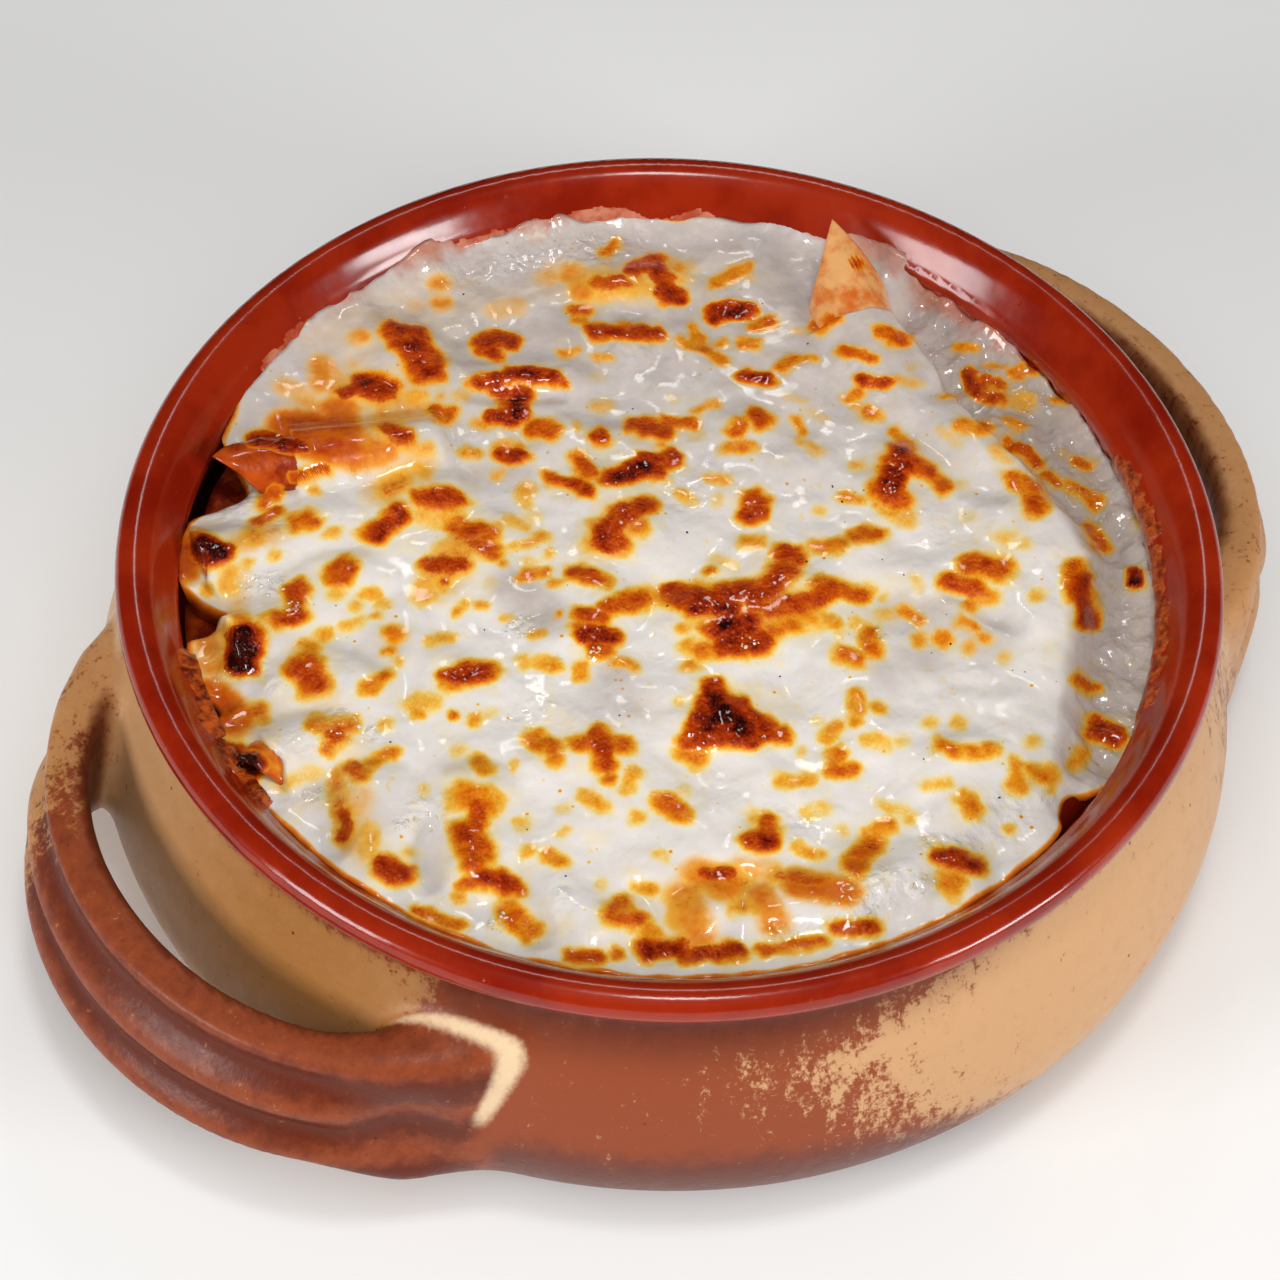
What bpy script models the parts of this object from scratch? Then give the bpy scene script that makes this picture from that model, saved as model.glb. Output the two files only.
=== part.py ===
"""Baked pasta in its own round stoneware dish with two strap handles.

Metres, +Z up. The origin is under the centre of the base, and the handles lie along X.
Run with: blender --background --python part.py
"""

import math

import bmesh
import bpy
from mathutils import Matrix, Vector

MM = 0.001
GAP = 0.3 * MM                    # clearance between pieces that touch
SCALE_TOL = 0.01 * MM             # distance under which turned points merge

# Driving sizes of the dish
DISH_HEIGHT = 55.0 * MM           # table to the top of the lip
LIP_RADIUS = 85.0 * MM            # outside of the rolled lip
LIP_CREST = 82.4 * MM             # radius of the lip's highest line
NECK_RADIUS = 82.3 * MM           # narrowest place under the lip
BELLY_RADIUS = 90.5 * MM          # widest place of the body
BELLY_HEIGHT = 19.0 * MM
FOOT_RADIUS = 64.0 * MM           # flat that the dish stands on
WALL = 6.8 * MM
FLOOR = 6.5 * MM                  # thickness of the bottom
THROAT_RADIUS = 75.7 * MM         # narrowest place of the inside, at the food's edge
THROAT_HEIGHT = 46.0 * MM
TURN_STEPS = 48                   # facets round every turned shape

# Strap handles, one at each end of X, which differ a little because they are pulled by hand:
# side: (reach of the middle of the strap from the axis, half width of the bow in Y,
#        fullness, where under 1 makes the bow squarer than an ellipse,
#        bearing of the bow's middle from the X axis, towards +Y, and
#        inward lean of the strap's top in metre per metre)
HANDLES = {
    -1.0: (103.4 * MM, 46.4 * MM, 0.92, math.radians(-3.4), 0.27),
    1.0: (100.3 * MM, 47.4 * MM, 0.89, math.radians(-1.6), 0.15),
}
HANDLE_ROOT = 62.0 * MM           # where the strap's bow would close
HANDLE_END = math.radians(86.0)   # bow angle at which the strap ends, inside the wall
STRAP_HEIGHT = 23.0 * MM
STRAP_THICK = 8.2 * MM
STRAP_MIDDLE = 27.75 * MM         # height of the strap's middle
STRAP_STATIONS = 22
STRAP_SIDES = 16
RIB_HEIGHT = 0.9 * MM             # three ribs on the outer face
RIB_COUNT = 3
LOBE_FULLNESS = 2.0 * MM          # extra thickness of the strap's ends
LOBE_GROWTH = 5.0 * MM            # extra height of the strap's ends
LOBE_SINK = 1.4 * MM              # how much lower the ends sit
THUMB_DEPTH = 1.8 * MM            # pressed hollow near each end

# Food
FOOD_LEVEL = 47.3 * MM            # ground level of the cheese
FOOD_TOP = 50.2 * MM              # no cheese stands higher
CHEESE_THICK = 3.2 * MM
CHEESE_RADIUS = 74.4 * MM
CHEESE_RINGS = 10
CHEESE_STEPS = 50
RING_CROWDING = 0.85              # under 1 crowds the rings towards the edge
LID_HEIGHT = 20.0 * MM            # height of the cutter over the filling
GUTTER_DROP = 4.2 * MM            # cheese beside the wall lies this much lower
GUTTER_RADIUS = 65.0 * MM         # where the drop into the gutter happens
GUTTER_FROM = math.radians(-58.0)
GUTTER_TO = math.radians(30.0)
EDGE_ROLL = 1.6 * MM              # how far the cheese turns down at its edge
EDGE_WIDTH = 5.0 * MM

# Hollows in the cheese's edge where the filling shows:
# (bearing in degrees, depth, half width in degrees)
EDGE_HOLLOWS = (
    (33.0, 9.0 * MM, 9.0),
    (130.0, 11.0 * MM, 7.0),
    (145.0, 8.0 * MM, 6.0),
    (157.0, 8.0 * MM, 4.0),
    (-73.0, 9.0 * MM, 8.0),
)

# Pasta tubes that lie just under the cheese and lift it:
# (x, y, heading in degrees, half length, lift)
BED_TUBES = (
    (-46.0 * MM, 38.0 * MM, -6.0, 19.0 * MM, 2.2 * MM),
    (-50.0 * MM, 16.0 * MM, -22.0, 18.0 * MM, 2.0 * MM),
    (-34.0 * MM, -22.0 * MM, -48.0, 19.0 * MM, 1.8 * MM),
    (-4.0 * MM, -52.0 * MM, 12.0, 18.0 * MM, 2.0 * MM),
    (30.0 * MM, -42.0 * MM, 40.0, 18.0 * MM, 1.8 * MM),
    (46.0 * MM, -12.0 * MM, 78.0, 19.0 * MM, 2.4 * MM),
    (8.0 * MM, -8.0 * MM, 30.0, 20.0 * MM, 2.0 * MM),
    (-12.0 * MM, 24.0 * MM, 64.0, 18.0 * MM, 1.6 * MM),
    (24.0 * MM, 34.0 * MM, -20.0, 19.0 * MM, 2.0 * MM),
    (-14.0 * MM, 58.0 * MM, 14.0, 15.0 * MM, 1.4 * MM),
)

# Pasta tubes whose ends come out of the cheese:
# name: (x, y, z of the middle of the visible end, heading that the end points to, pitch of
#        the nose upwards, roll of the slanted cut, where 90 puts its longest side on top,
#        length, length that no cheese covers)
TUBE_RADIUS = 5.6 * MM
TUBE_WALL = 1.3 * MM
TUBE_SIDES = 14
TUBE_SLANT = 0.85                 # slope of the quill cut, metre per metre
TUBE_HOLLOW = 9.0 * MM            # depth to which the visible end is empty
TUBE_COVER = 1.2 * MM             # cheese over a tube
EXPOSED_TUBES = {
    "penne_back_right":
        (59.4 * MM, 36.8 * MM, 47.2 * MM, 85.0, 12.0, 45.0, 30.0 * MM, 15.0 * MM),
    "penne_left_back":
        (-44.5 * MM, 54.0 * MM, 46.2 * MM, 158.0, 5.0, 50.0, 30.0 * MM, 24.0 * MM),
    "penne_left":
        (-59.2 * MM, 41.6 * MM, 45.0 * MM, 164.0, 14.0, 60.0, 26.0 * MM, 8.0 * MM),
    "penne_left_front":
        (-66.6 * MM, 26.5 * MM, 45.0 * MM, 169.0, 14.0, -80.0, 26.0 * MM, 8.0 * MM),
    "penne_front_left":
        (-72.6 * MM, 3.2 * MM, 44.8 * MM, 176.0, 14.0, 90.0, 24.0 * MM, 6.0 * MM),
    "penne_front_right":
        (26.4 * MM, -63.2 * MM, 40.8 * MM, 16.5, 0.0, 120.0, 20.0 * MM, 20.0 * MM),
}


def clear_scene():
    """Remove every object that the file starts with."""
    for obj in list(bpy.data.objects):
        bpy.data.objects.remove(obj, do_unlink=True)


def make_collection(name):
    """Make a collection linked to the scene."""
    collection = bpy.data.collections.new(name)
    bpy.context.scene.collection.children.link(collection)
    return collection


def make_material(name, colour, roughness, metallic=0.0):
    """Make a Principled material."""
    material = bpy.data.materials.new(name)
    material.use_nodes = True
    shader = material.node_tree.nodes["Principled BSDF"]
    shader.inputs["Base Color"].default_value = (*colour, 1.0)
    shader.inputs["Roughness"].default_value = roughness
    shader.inputs["Metallic"].default_value = metallic
    return material


def add_object(name, bm, collection, material=None, smooth_angle=35.0):
    """Turn a bmesh into a named object, shaded smooth up to an angle."""
    mesh = bpy.data.meshes.new(name)
    bm.to_mesh(mesh)
    bm.free()
    mesh.shade_smooth()
    mesh.set_sharp_from_angle(angle=math.radians(smooth_angle))
    obj = bpy.data.objects.new(name, mesh)
    collection.objects.link(obj)
    if material is not None:
        mesh.materials.append(material)
    return obj


def mark_cutter(obj):
    """Show a cutter as a wire that never renders."""
    obj.hide_render = True
    obj.display_type = "WIRE"
    return obj


def add_boolean(obj, operation, other):
    """Join or cut an object with another by an exact Boolean."""
    modifier = obj.modifiers.new(f"{operation.lower()}_{other.name}", "BOOLEAN")
    modifier.operation = operation
    modifier.object = other
    modifier.solver = "EXACT"


def catmull_rom(points, per_span):
    """Sample a smooth curve that passes through every given point."""
    ends = [2 * points[0] - points[1], *points, 2 * points[-1] - points[-2]]
    curve = []
    for p0, p1, p2, p3 in zip(ends, ends[1:], ends[2:], ends[3:]):
        for step in range(per_span):
            t = step / per_span
            curve.append(0.5 * (2 * p1 + (p2 - p0) * t + (2 * p0 - 5 * p1 + 4 * p2 - p3) * t * t
                                + (3 * p1 - p0 - 3 * p2 + p3) * t ** 3))
    curve.append(points[-1].copy())
    return curve


def outer_profile():
    """Outside of the dish from the lip's crest down to the edge of its foot."""
    lip = [
        Vector((LIP_CREST, DISH_HEIGHT)),
        Vector((LIP_RADIUS - 0.7 * MM, DISH_HEIGHT - 0.9 * MM)),
        Vector((LIP_RADIUS, DISH_HEIGHT - 2.9 * MM)),
        Vector((LIP_RADIUS - 0.9 * MM, DISH_HEIGHT - 5.0 * MM)),
        Vector((NECK_RADIUS, DISH_HEIGHT - 7.6 * MM)),
    ]
    body = [
        Vector((NECK_RADIUS, DISH_HEIGHT - 7.6 * MM)),
        Vector((NECK_RADIUS + 1.6 * MM, DISH_HEIGHT - 13.0 * MM)),
        Vector((BELLY_RADIUS - 2.6 * MM, BELLY_HEIGHT + 13.0 * MM)),
        Vector((BELLY_RADIUS, BELLY_HEIGHT)),
        Vector((BELLY_RADIUS - 3.6 * MM, 8.0 * MM)),
        Vector((FOOT_RADIUS + 13.0 * MM, 2.6 * MM)),
        Vector((FOOT_RADIUS, 0.0)),
    ]
    return catmull_rom(lip, 1) + catmull_rom(body, 2)[1:]


def inner_profile():
    """Inside of the dish from the middle of its floor up to just inside the lip's crest."""
    points = [
        Vector((FOOT_RADIUS - 8.0 * MM, FLOOR)),
        Vector((BELLY_RADIUS - WALL - 8.0 * MM, 10.5 * MM)),
        Vector((BELLY_RADIUS - WALL, BELLY_HEIGHT + 1.0 * MM)),
        Vector((BELLY_RADIUS - WALL - 2.6 * MM, BELLY_HEIGHT + 13.0 * MM)),
        Vector((THROAT_RADIUS, THROAT_HEIGHT)),
        Vector((THROAT_RADIUS + 1.5 * MM, THROAT_HEIGHT + 4.2 * MM)),
        Vector((LIP_CREST - 2.6 * MM, DISH_HEIGHT - 1.0 * MM)),
    ]
    return [Vector((0.0, FLOOR))] + catmull_rom(points, 2)


def turned_object(name, profile, collection, material=None):
    """Turn a profile, given as radius and height, round the Z axis."""
    bm = bmesh.new()
    points = [bm.verts.new((p.x, 0.0, p.y)) for p in profile]
    for first, second in zip(points, points[1:]):
        bm.edges.new((first, second))
    obj = add_object(name, bm, collection, material)
    screw = obj.modifiers.new("turn", "SCREW")
    screw.axis = "Z"
    screw.angle = math.tau
    screw.steps = TURN_STEPS
    screw.render_steps = TURN_STEPS
    screw.use_merge_vertices = True
    screw.merge_threshold = SCALE_TOL
    screw.use_smooth_shade = True
    return obj


def loft(rings):
    """Skin a row of closed rings that have the same number of points, and cap both ends."""
    bm = bmesh.new()
    rows = [[bm.verts.new(point) for point in ring] for ring in rings]
    for row, following in zip(rows, rows[1:]):
        count = len(row)
        for i in range(count):
            j = (i + 1) % count
            bm.faces.new((row[i], row[j], following[j], following[i]))
    bm.faces.new(rows[0])
    bm.faces.new(rows[-1])
    bmesh.ops.recalc_face_normals(bm, faces=bm.faces)
    return bm


def bow_point(side, angle):
    """Middle of the strap in plan at a bow angle; 0 is the outermost place."""
    reach, spread, fullness, bearing, _ = HANDLES[side]
    x = HANDLE_ROOT + (reach - HANDLE_ROOT) * max(math.cos(angle), 0.0) ** fullness
    point = Matrix.Rotation(bearing, 3, "Z") @ Vector((x, spread * math.sin(angle), 0.0))
    return Vector((side * point.x, point.y, 0.0))


def strap_section(side, angle):
    """Closed section of the strap at a bow angle, with ribs that fade into the end lobes."""
    step = math.radians(0.5)
    along = (bow_point(side, angle + step) - bow_point(side, angle - step)).normalized()
    outward = side * Vector((along.y, -along.x, 0.0))
    middle = bow_point(side, angle)
    end_share = min(1.0, abs(angle) / HANDLE_END)
    lobe = smooth_step(0.50, 0.75, end_share)
    thumb = math.exp(-(((end_share - 0.72) / 0.09) ** 2))
    half_height = 0.5 * STRAP_HEIGHT + 0.5 * LOBE_GROWTH * lobe
    half_thick = 0.5 * STRAP_THICK + 0.5 * LOBE_FULLNESS * lobe
    ring = []
    for i in range(STRAP_SIDES):
        turn = math.tau * i / STRAP_SIDES
        width, rise = math.cos(turn), math.sin(turn)
        height = half_height * math.copysign(abs(rise) ** 0.8, rise)
        offset = half_thick * math.copysign(abs(width) ** 0.6, width)
        if width > 0.0:
            share = 0.5 + 0.5 * height / half_height
            rib = RIB_HEIGHT * math.cos(math.tau * RIB_COUNT * (share - 0.5 / RIB_COUNT))
            press = THUMB_DEPTH * math.exp(-(((share - 0.45) / 0.28) ** 2))
            offset += rib * (1.0 - lobe) - press * thumb
        offset -= HANDLES[side][4] * math.cos(angle) * height
        rise_at = STRAP_MIDDLE - LOBE_SINK * lobe + height
        ring.append(middle + outward * offset + Vector((0.0, 0.0, rise_at)))
    return ring


def make_handles(cutters):
    """Both strap handles, trimmed inside the wall so that the inside of the dish stays smooth."""
    core_profile = [Vector((p.x - 0.5 * WALL, p.y)) for p in outer_profile()[5:-2]]
    top, bottom = core_profile[0], core_profile[-1]
    closed = [Vector((0.0, top.y)), *core_profile, Vector((0.0, bottom.y))]
    core = mark_cutter(turned_object("wall_core", closed, cutters))
    handles = []
    for side in HANDLES:
        bow_angles = [HANDLE_END * (2.0 * i / STRAP_STATIONS - 1.0) for i in range(STRAP_STATIONS + 1)]
        rings = [strap_section(side, angle) for angle in bow_angles]
        handle = mark_cutter(add_object(f"handle_blank_{len(handles) + 1}", loft(rings), cutters))
        add_boolean(handle, "DIFFERENCE", core)
        handles.append(handle)
    return handles


def make_dish(parts, cutters):
    """The stoneware dish: a turned wall with its lip, and the two handles joined to it."""
    glaze = make_material("dish_glaze", (0.38, 0.11, 0.04), 0.35)
    profile = inner_profile() + outer_profile() + [Vector((0.0, 0.0))]
    dish = turned_object("dish", profile, parts, glaze)
    for handle in make_handles(cutters):
        add_boolean(dish, "UNION", handle)
    return dish


def smooth_step(low, high, value):
    """Blend from 0 at low to 1 at high."""
    share = min(max((value - low) / (high - low), 0.0), 1.0)
    return share * share * (3.0 - 2.0 * share)


def gutter_share(bearing):
    """How much of the gutter lies at a bearing: 1 along its run, fading at both ends."""
    fade = math.radians(12.0)
    rise = smooth_step(GUTTER_FROM - fade, GUTTER_FROM + fade, bearing)
    return rise * (1.0 - smooth_step(GUTTER_TO - fade, GUTTER_TO + fade, bearing))


def tube_lift(x, y):
    """Lift of the cheese over the pasta tubes under it."""
    lift = 0.0
    for tube_x, tube_y, heading, half_length, height in BED_TUBES:
        turn = math.radians(heading)
        dx, dy = x - tube_x, y - tube_y
        along = abs(dx * math.cos(turn) + dy * math.sin(turn))
        across = abs(dy * math.cos(turn) - dx * math.sin(turn))
        run = 1.0 - smooth_step(half_length - 4.0 * MM, half_length + 4.0 * MM, along)
        lift = max(lift, height * run * math.exp(-((across / (7.0 * MM)) ** 2)))
    for tube_x, tube_y, tube_z, heading, pitch, _, _, bare in EXPOSED_TUBES.values():
        turn = math.radians(heading)
        dx, dy = x - tube_x, y - tube_y
        behind = -(dx * math.cos(turn) + dy * math.sin(turn))
        across = abs(dy * math.cos(turn) - dx * math.sin(turn))
        top = tube_z - behind * math.tan(math.radians(pitch)) + TUBE_RADIUS + TUBE_COVER
        run = smooth_step(bare - 3.0 * MM, bare + 3.0 * MM, behind)
        lift = max(lift, (top - FOOD_LEVEL) * run * math.exp(-((across / (6.5 * MM)) ** 2)))
    return lift


def cheese_height(x, y):
    """Top of the cheese above the table."""
    radius = math.hypot(x, y)
    bearing = math.atan2(y, x)
    drop = GUTTER_DROP * gutter_share(bearing)
    drop *= smooth_step(GUTTER_RADIUS - 2.5 * MM, GUTTER_RADIUS + 2.5 * MM, radius)
    roll = EDGE_ROLL * smooth_step(CHEESE_RADIUS - EDGE_WIDTH, CHEESE_RADIUS, radius)
    inner = 1.0 - smooth_step(60.0 * MM, 70.0 * MM, radius) * gutter_share(bearing)
    return min(FOOD_LEVEL + tube_lift(x, y) * inner - drop - roll, FOOD_TOP)


def cheese_edge(bearing):
    """Radius of the cheese's uneven edge at a bearing."""
    radius = CHEESE_RADIUS
    radius -= 0.5 * MM * (1.0 + math.sin(5.0 * bearing + 0.8))
    radius -= 0.4 * MM * (1.0 + math.sin(13.0 * bearing))
    for centre, depth, half_width in EDGE_HOLLOWS:
        away = math.remainder(bearing - math.radians(centre), math.tau)
        radius -= depth * math.exp(-((away / math.radians(half_width)) ** 2))
    return radius


def disc_surface(lowering, rim=None):
    """Disc that follows the cheese's height, lowered by an amount, out to its edge or on to a rim."""
    bm = bmesh.new()
    centre = bm.verts.new((0.0, 0.0, cheese_height(0.0, 0.0) - lowering))
    shares = [((ring + 1) / CHEESE_RINGS) ** RING_CROWDING for ring in range(CHEESE_RINGS)]
    previous = None
    for share in (*shares, None) if rim else shares:
        row = []
        for step in range(CHEESE_STEPS):
            bearing = math.tau * step / CHEESE_STEPS
            radius = cheese_edge(bearing) * share if share else rim
            x, y = radius * math.cos(bearing), radius * math.sin(bearing)
            row.append(bm.verts.new((x, y, cheese_height(x, y) - lowering)))
        for i in range(CHEESE_STEPS):
            j = (i + 1) % CHEESE_STEPS
            if previous is None:
                bm.faces.new((centre, row[i], row[j]))
            else:
                bm.faces.new((previous[i], row[i], row[j]))
                bm.faces.new((previous[i], row[j], previous[j]))
        previous = row
    return bm


def raise_or_sink(bm, height):
    """Give a surface thickness, straight up or straight down."""
    result = bmesh.ops.extrude_face_region(bm, geom=list(bm.faces))
    moved = [item for item in result["geom"] if isinstance(item, bmesh.types.BMVert)]
    bmesh.ops.translate(bm, verts=moved, vec=(0.0, 0.0, height))
    bmesh.ops.recalc_face_normals(bm, faces=bm.faces)
    return bm


def make_cheese(parts):
    """The melted, browned cheese: one blanket that follows the pasta under it."""
    cream = make_material("cheese_cream", (0.78, 0.70, 0.55), 0.3)
    bm = disc_surface(0.0)
    raise_or_sink(bm, -CHEESE_THICK)
    return add_object("melted_cheese", bm, parts, cream)


def make_filling(parts, cutters):
    """The pasta in its sauce, filling the dish up to the cheese."""
    sauce = make_material("sauce_red", (0.42, 0.10, 0.03), 0.35)
    inside = [Vector((max(p.x - GAP, 0.0), p.y + GAP)) for p in inner_profile()]
    wall = [p for p in inside if p.y < THROAT_HEIGHT + 3.0 * MM]
    profile = [Vector((0.0, wall[-1].y)), *reversed(wall)]
    filling = turned_object("pasta_filling", profile, parts, sauce)
    lid = disc_surface(CHEESE_THICK + GAP, rim=LIP_RADIUS)
    raise_or_sink(lid, LID_HEIGHT)
    add_boolean(filling, "DIFFERENCE", mark_cutter(add_object("food_lid", lid, cutters)))
    return filling


def tube_blank(radius, length, middle):
    """Solid pasta tube along X about a middle, with a slanted cut at each end."""
    bm = bmesh.new()
    bmesh.ops.create_cone(bm, cap_ends=True, segments=TUBE_SIDES, radius1=radius, radius2=radius,
                          depth=length)
    bmesh.ops.rotate(bm, verts=bm.verts, cent=(0.0, 0.0, 0.0), matrix=Matrix.Rotation(math.pi / 2, 3, "Y"))
    for vert in bm.verts:
        vert.co.x += middle + TUBE_SLANT * vert.co.z
    return bm


def place_tube(bm, x, y, z, heading, pitch, roll):
    """Roll a tube about its length, pitch its nose up, turn it to its heading and put it in place."""
    turn = (Matrix.Rotation(math.radians(heading), 4, "Z")
            @ Matrix.Rotation(math.radians(-pitch), 4, "Y")
            @ Matrix.Rotation(math.radians(roll - 90.0), 4, "X"))
    bm.transform(Matrix.Translation((x, y, z)) @ turn)
    return bm


def make_exposed_tubes(parts, cutters, around):
    """The pasta tubes whose ends show; the food around them is cut clear of each."""
    dough = make_material("pasta_dough", (0.62, 0.27, 0.06), 0.35)
    for name, (*place, length, _) in EXPOSED_TUBES.items():
        blank = tube_blank(TUBE_RADIUS, length, -0.5 * length)
        tube = add_object(name, place_tube(blank, *place), parts, dough)
        bore = tube_blank(TUBE_RADIUS - TUBE_WALL, 2.0 * TUBE_HOLLOW, 0.0)
        bore = mark_cutter(add_object(f"{name}_bore", place_tube(bore, *place), cutters))
        add_boolean(tube, "DIFFERENCE", bore)
        room = tube_blank(TUBE_RADIUS + GAP, length + 2.0 * GAP, -0.5 * length)
        room = mark_cutter(add_object(f"{name}_room", place_tube(room, *place), cutters))
        for food in around:
            add_boolean(food, "DIFFERENCE", room)


def main():
    """Build the dish and everything in it."""
    clear_scene()
    parts = make_collection("baked_pasta")
    cutters = make_collection("cutters")
    make_dish(parts, cutters)
    filling = make_filling(parts, cutters)
    cheese = make_cheese(parts)
    make_exposed_tubes(parts, cutters, (filling, cheese))


main()
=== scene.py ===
"""Baked penne under browned cheese, in the round stoneware dish with two strap handles it was baked in.

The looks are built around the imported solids: a turned and glazed dish, a blanket of melted cheese
that drapes over the pasta, the pasta ends that come out of it, and the sauce under it.
Sizes are in millimetres and become metres when a mesh is made.
"""

import itertools
import logging
import math
import random
from dataclasses import dataclass
from enum import Enum
from typing import Any, Iterable, Optional, Sequence, Union

import bmesh
import bpy
import numpy as np
from mathutils import Matrix, Vector
from mathutils.bvhtree import BVHTree


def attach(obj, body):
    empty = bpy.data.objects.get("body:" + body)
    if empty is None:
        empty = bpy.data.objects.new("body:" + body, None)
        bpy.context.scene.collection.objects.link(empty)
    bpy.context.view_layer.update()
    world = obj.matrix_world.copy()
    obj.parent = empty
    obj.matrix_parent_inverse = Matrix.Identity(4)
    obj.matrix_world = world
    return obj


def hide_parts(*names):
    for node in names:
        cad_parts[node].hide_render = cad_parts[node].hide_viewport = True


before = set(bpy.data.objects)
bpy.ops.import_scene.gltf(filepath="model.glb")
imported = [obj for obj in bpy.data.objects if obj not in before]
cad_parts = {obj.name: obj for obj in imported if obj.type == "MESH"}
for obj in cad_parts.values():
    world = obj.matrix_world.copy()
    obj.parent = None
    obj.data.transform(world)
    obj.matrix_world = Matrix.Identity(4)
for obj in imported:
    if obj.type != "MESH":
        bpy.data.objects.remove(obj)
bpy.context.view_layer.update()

MM = 0.001
LOG = logging.getLogger("baked_pasta")
Colour = tuple[float, float, float, float]


# ---------------------------------------------------------------- numbers

def smooth_step(low: float, high: float, value: np.ndarray) -> np.ndarray:
    """Blend from 0 at low to 1 at high.

    Args:
        low: Value at which the blend starts.
        high: Value at which it is complete.
        value: Numbers to blend.

    Returns:
        Shares between 0 and 1.
    """
    share = np.clip((value - low) / (high - low), 0.0, 1.0)
    return share * share * (3.0 - 2.0 * share)


def bell(share: np.ndarray) -> np.ndarray:
    """Round hump, 1 in its middle and 0 from a share of 1 outwards."""
    return np.clip(1.0 - share * share, 0.0, 1.0) ** 2


def smooth_most(first: np.ndarray, second: np.ndarray, width: float) -> np.ndarray:
    """Larger of two heights, with the crease between them rounded over a width."""
    share = np.clip(0.5 + 0.5 * (first - second) / width, 0.0, 1.0)
    return second + (first - second) * share + width * share * (1.0 - share)


def scatter(knot: np.ndarray, seed: int) -> np.ndarray:
    """Fixed random number between -1 and 1 for every knot of a lattice."""
    primes = np.array([73856093, 19349663, 83492791], np.int64)[:knot.shape[1]]
    mixed = (knot * primes).sum(axis=1) + np.int64(seed) * 374761393
    mixed = (mixed ^ (mixed >> 13)) * 1274126177
    return ((mixed ^ (mixed >> 16)) & 0xFFFFFF) / 8388607.5 - 1.0


def cloud(points: np.ndarray, size: float, seed: int = 0) -> np.ndarray:
    """Soft random field between about -1 and 1, in lumps of one size.

    Args:
        points: One row for each place, with two or three coordinates.
        size: Distance between lumps, in the same unit.
        seed: Number that picks the pattern.

    Returns:
        One number for each place.
    """
    turn = 0.6 + 1.7 * seed
    scaled = points / size
    scaled[:, :2] = np.stack([scaled[:, 0] * math.cos(turn) - scaled[:, 1] * math.sin(turn),
                              scaled[:, 0] * math.sin(turn) + scaled[:, 1] * math.cos(turn)], 1)
    cell = np.floor(scaled).astype(np.int64)
    within = scaled - cell
    ease = within ** 3 * (within * (within * 6.0 - 15.0) + 10.0)
    total = np.zeros(len(points))
    for corner in itertools.product((0, 1), repeat=points.shape[1]):
        weight = np.prod(np.where(corner, ease, 1.0 - ease), axis=1)
        slope = np.stack([scatter(cell + corner, seed + 101 * axis) for axis in range(points.shape[1])], 1)
        total += weight * (slope * (within - corner)).sum(axis=1)
    return total * 1.5


def clouds(points: np.ndarray, *layers: tuple[float, float, int]) -> np.ndarray:
    """Sum of clouds, each given as its strength, the size of its lumps and its seed."""
    return sum(strength * cloud(points, size, seed) for strength, size, seed in layers)


def peak(value: np.ndarray, middle: float, width: float) -> np.ndarray:
    """Bell curve, 1 at its middle and fading over a width on both sides."""
    return np.exp(-(((value - middle) / width) ** 2))


def degrees_from(bearing: np.ndarray, centre: float) -> np.ndarray:
    """Angle in degrees, between -180 and 180, from a centre in degrees to bearings in radians."""
    return np.degrees(np.remainder(bearing - math.radians(centre) + math.pi, math.tau) - math.pi)


def catmull_rom(points: Sequence[tuple[float, float]], per_span: int) -> np.ndarray:
    """Sample a smooth curve that passes through every given point."""
    knots = np.array(points, float)
    knots = np.vstack([2 * knots[0] - knots[1], knots, 2 * knots[-1] - knots[-2]])
    share = (np.arange(per_span) / per_span)[:, None]
    spans = [0.5 * (2 * b + (c - a) * share + (2 * a - 5 * b + 4 * c - d) * share ** 2
                    + (3 * b - a - 3 * c + d) * share ** 3)
             for a, b, c, d in zip(knots, knots[1:], knots[2:], knots[3:])]
    return np.vstack([*spans, knots[-2:-1]])


# The view frame: u runs to the right of the view over the dish, and v away from it
VIEW_TURN = math.radians(-37.5)
U_AXIS = (math.cos(VIEW_TURN), math.sin(VIEW_TURN))
V_AXIS = (-math.sin(VIEW_TURN), math.cos(VIEW_TURN))


def to_view(x: np.ndarray, y: np.ndarray) -> tuple[np.ndarray, np.ndarray]:
    """Place over the dish as u and v."""
    return x * U_AXIS[0] + y * U_AXIS[1], x * V_AXIS[0] + y * V_AXIS[1]


def from_view(u: np.ndarray, v: np.ndarray) -> tuple[np.ndarray, np.ndarray]:
    """Place over the dish as x and y."""
    return u * U_AXIS[0] + v * V_AXIS[0], u * U_AXIS[1] + v * V_AXIS[1]


def strip_distance(u: np.ndarray, v: np.ndarray, strip: Sequence[float]) -> np.ndarray:
    """Distance from places to a straight line between two points, given as u1, v1, u2, v2."""
    du, dv = strip[2] - strip[0], strip[3] - strip[1]
    share = ((u - strip[0]) * du + (v - strip[1]) * dv) / max(du * du + dv * dv, 1e-6)
    share = np.clip(share, 0.0, 1.0)
    return np.hypot(u - strip[0] - share * du, v - strip[1] - share * dv)


# ---------------------------------------------------------------- shader writing

Value = Union[float, "Field"]


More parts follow.
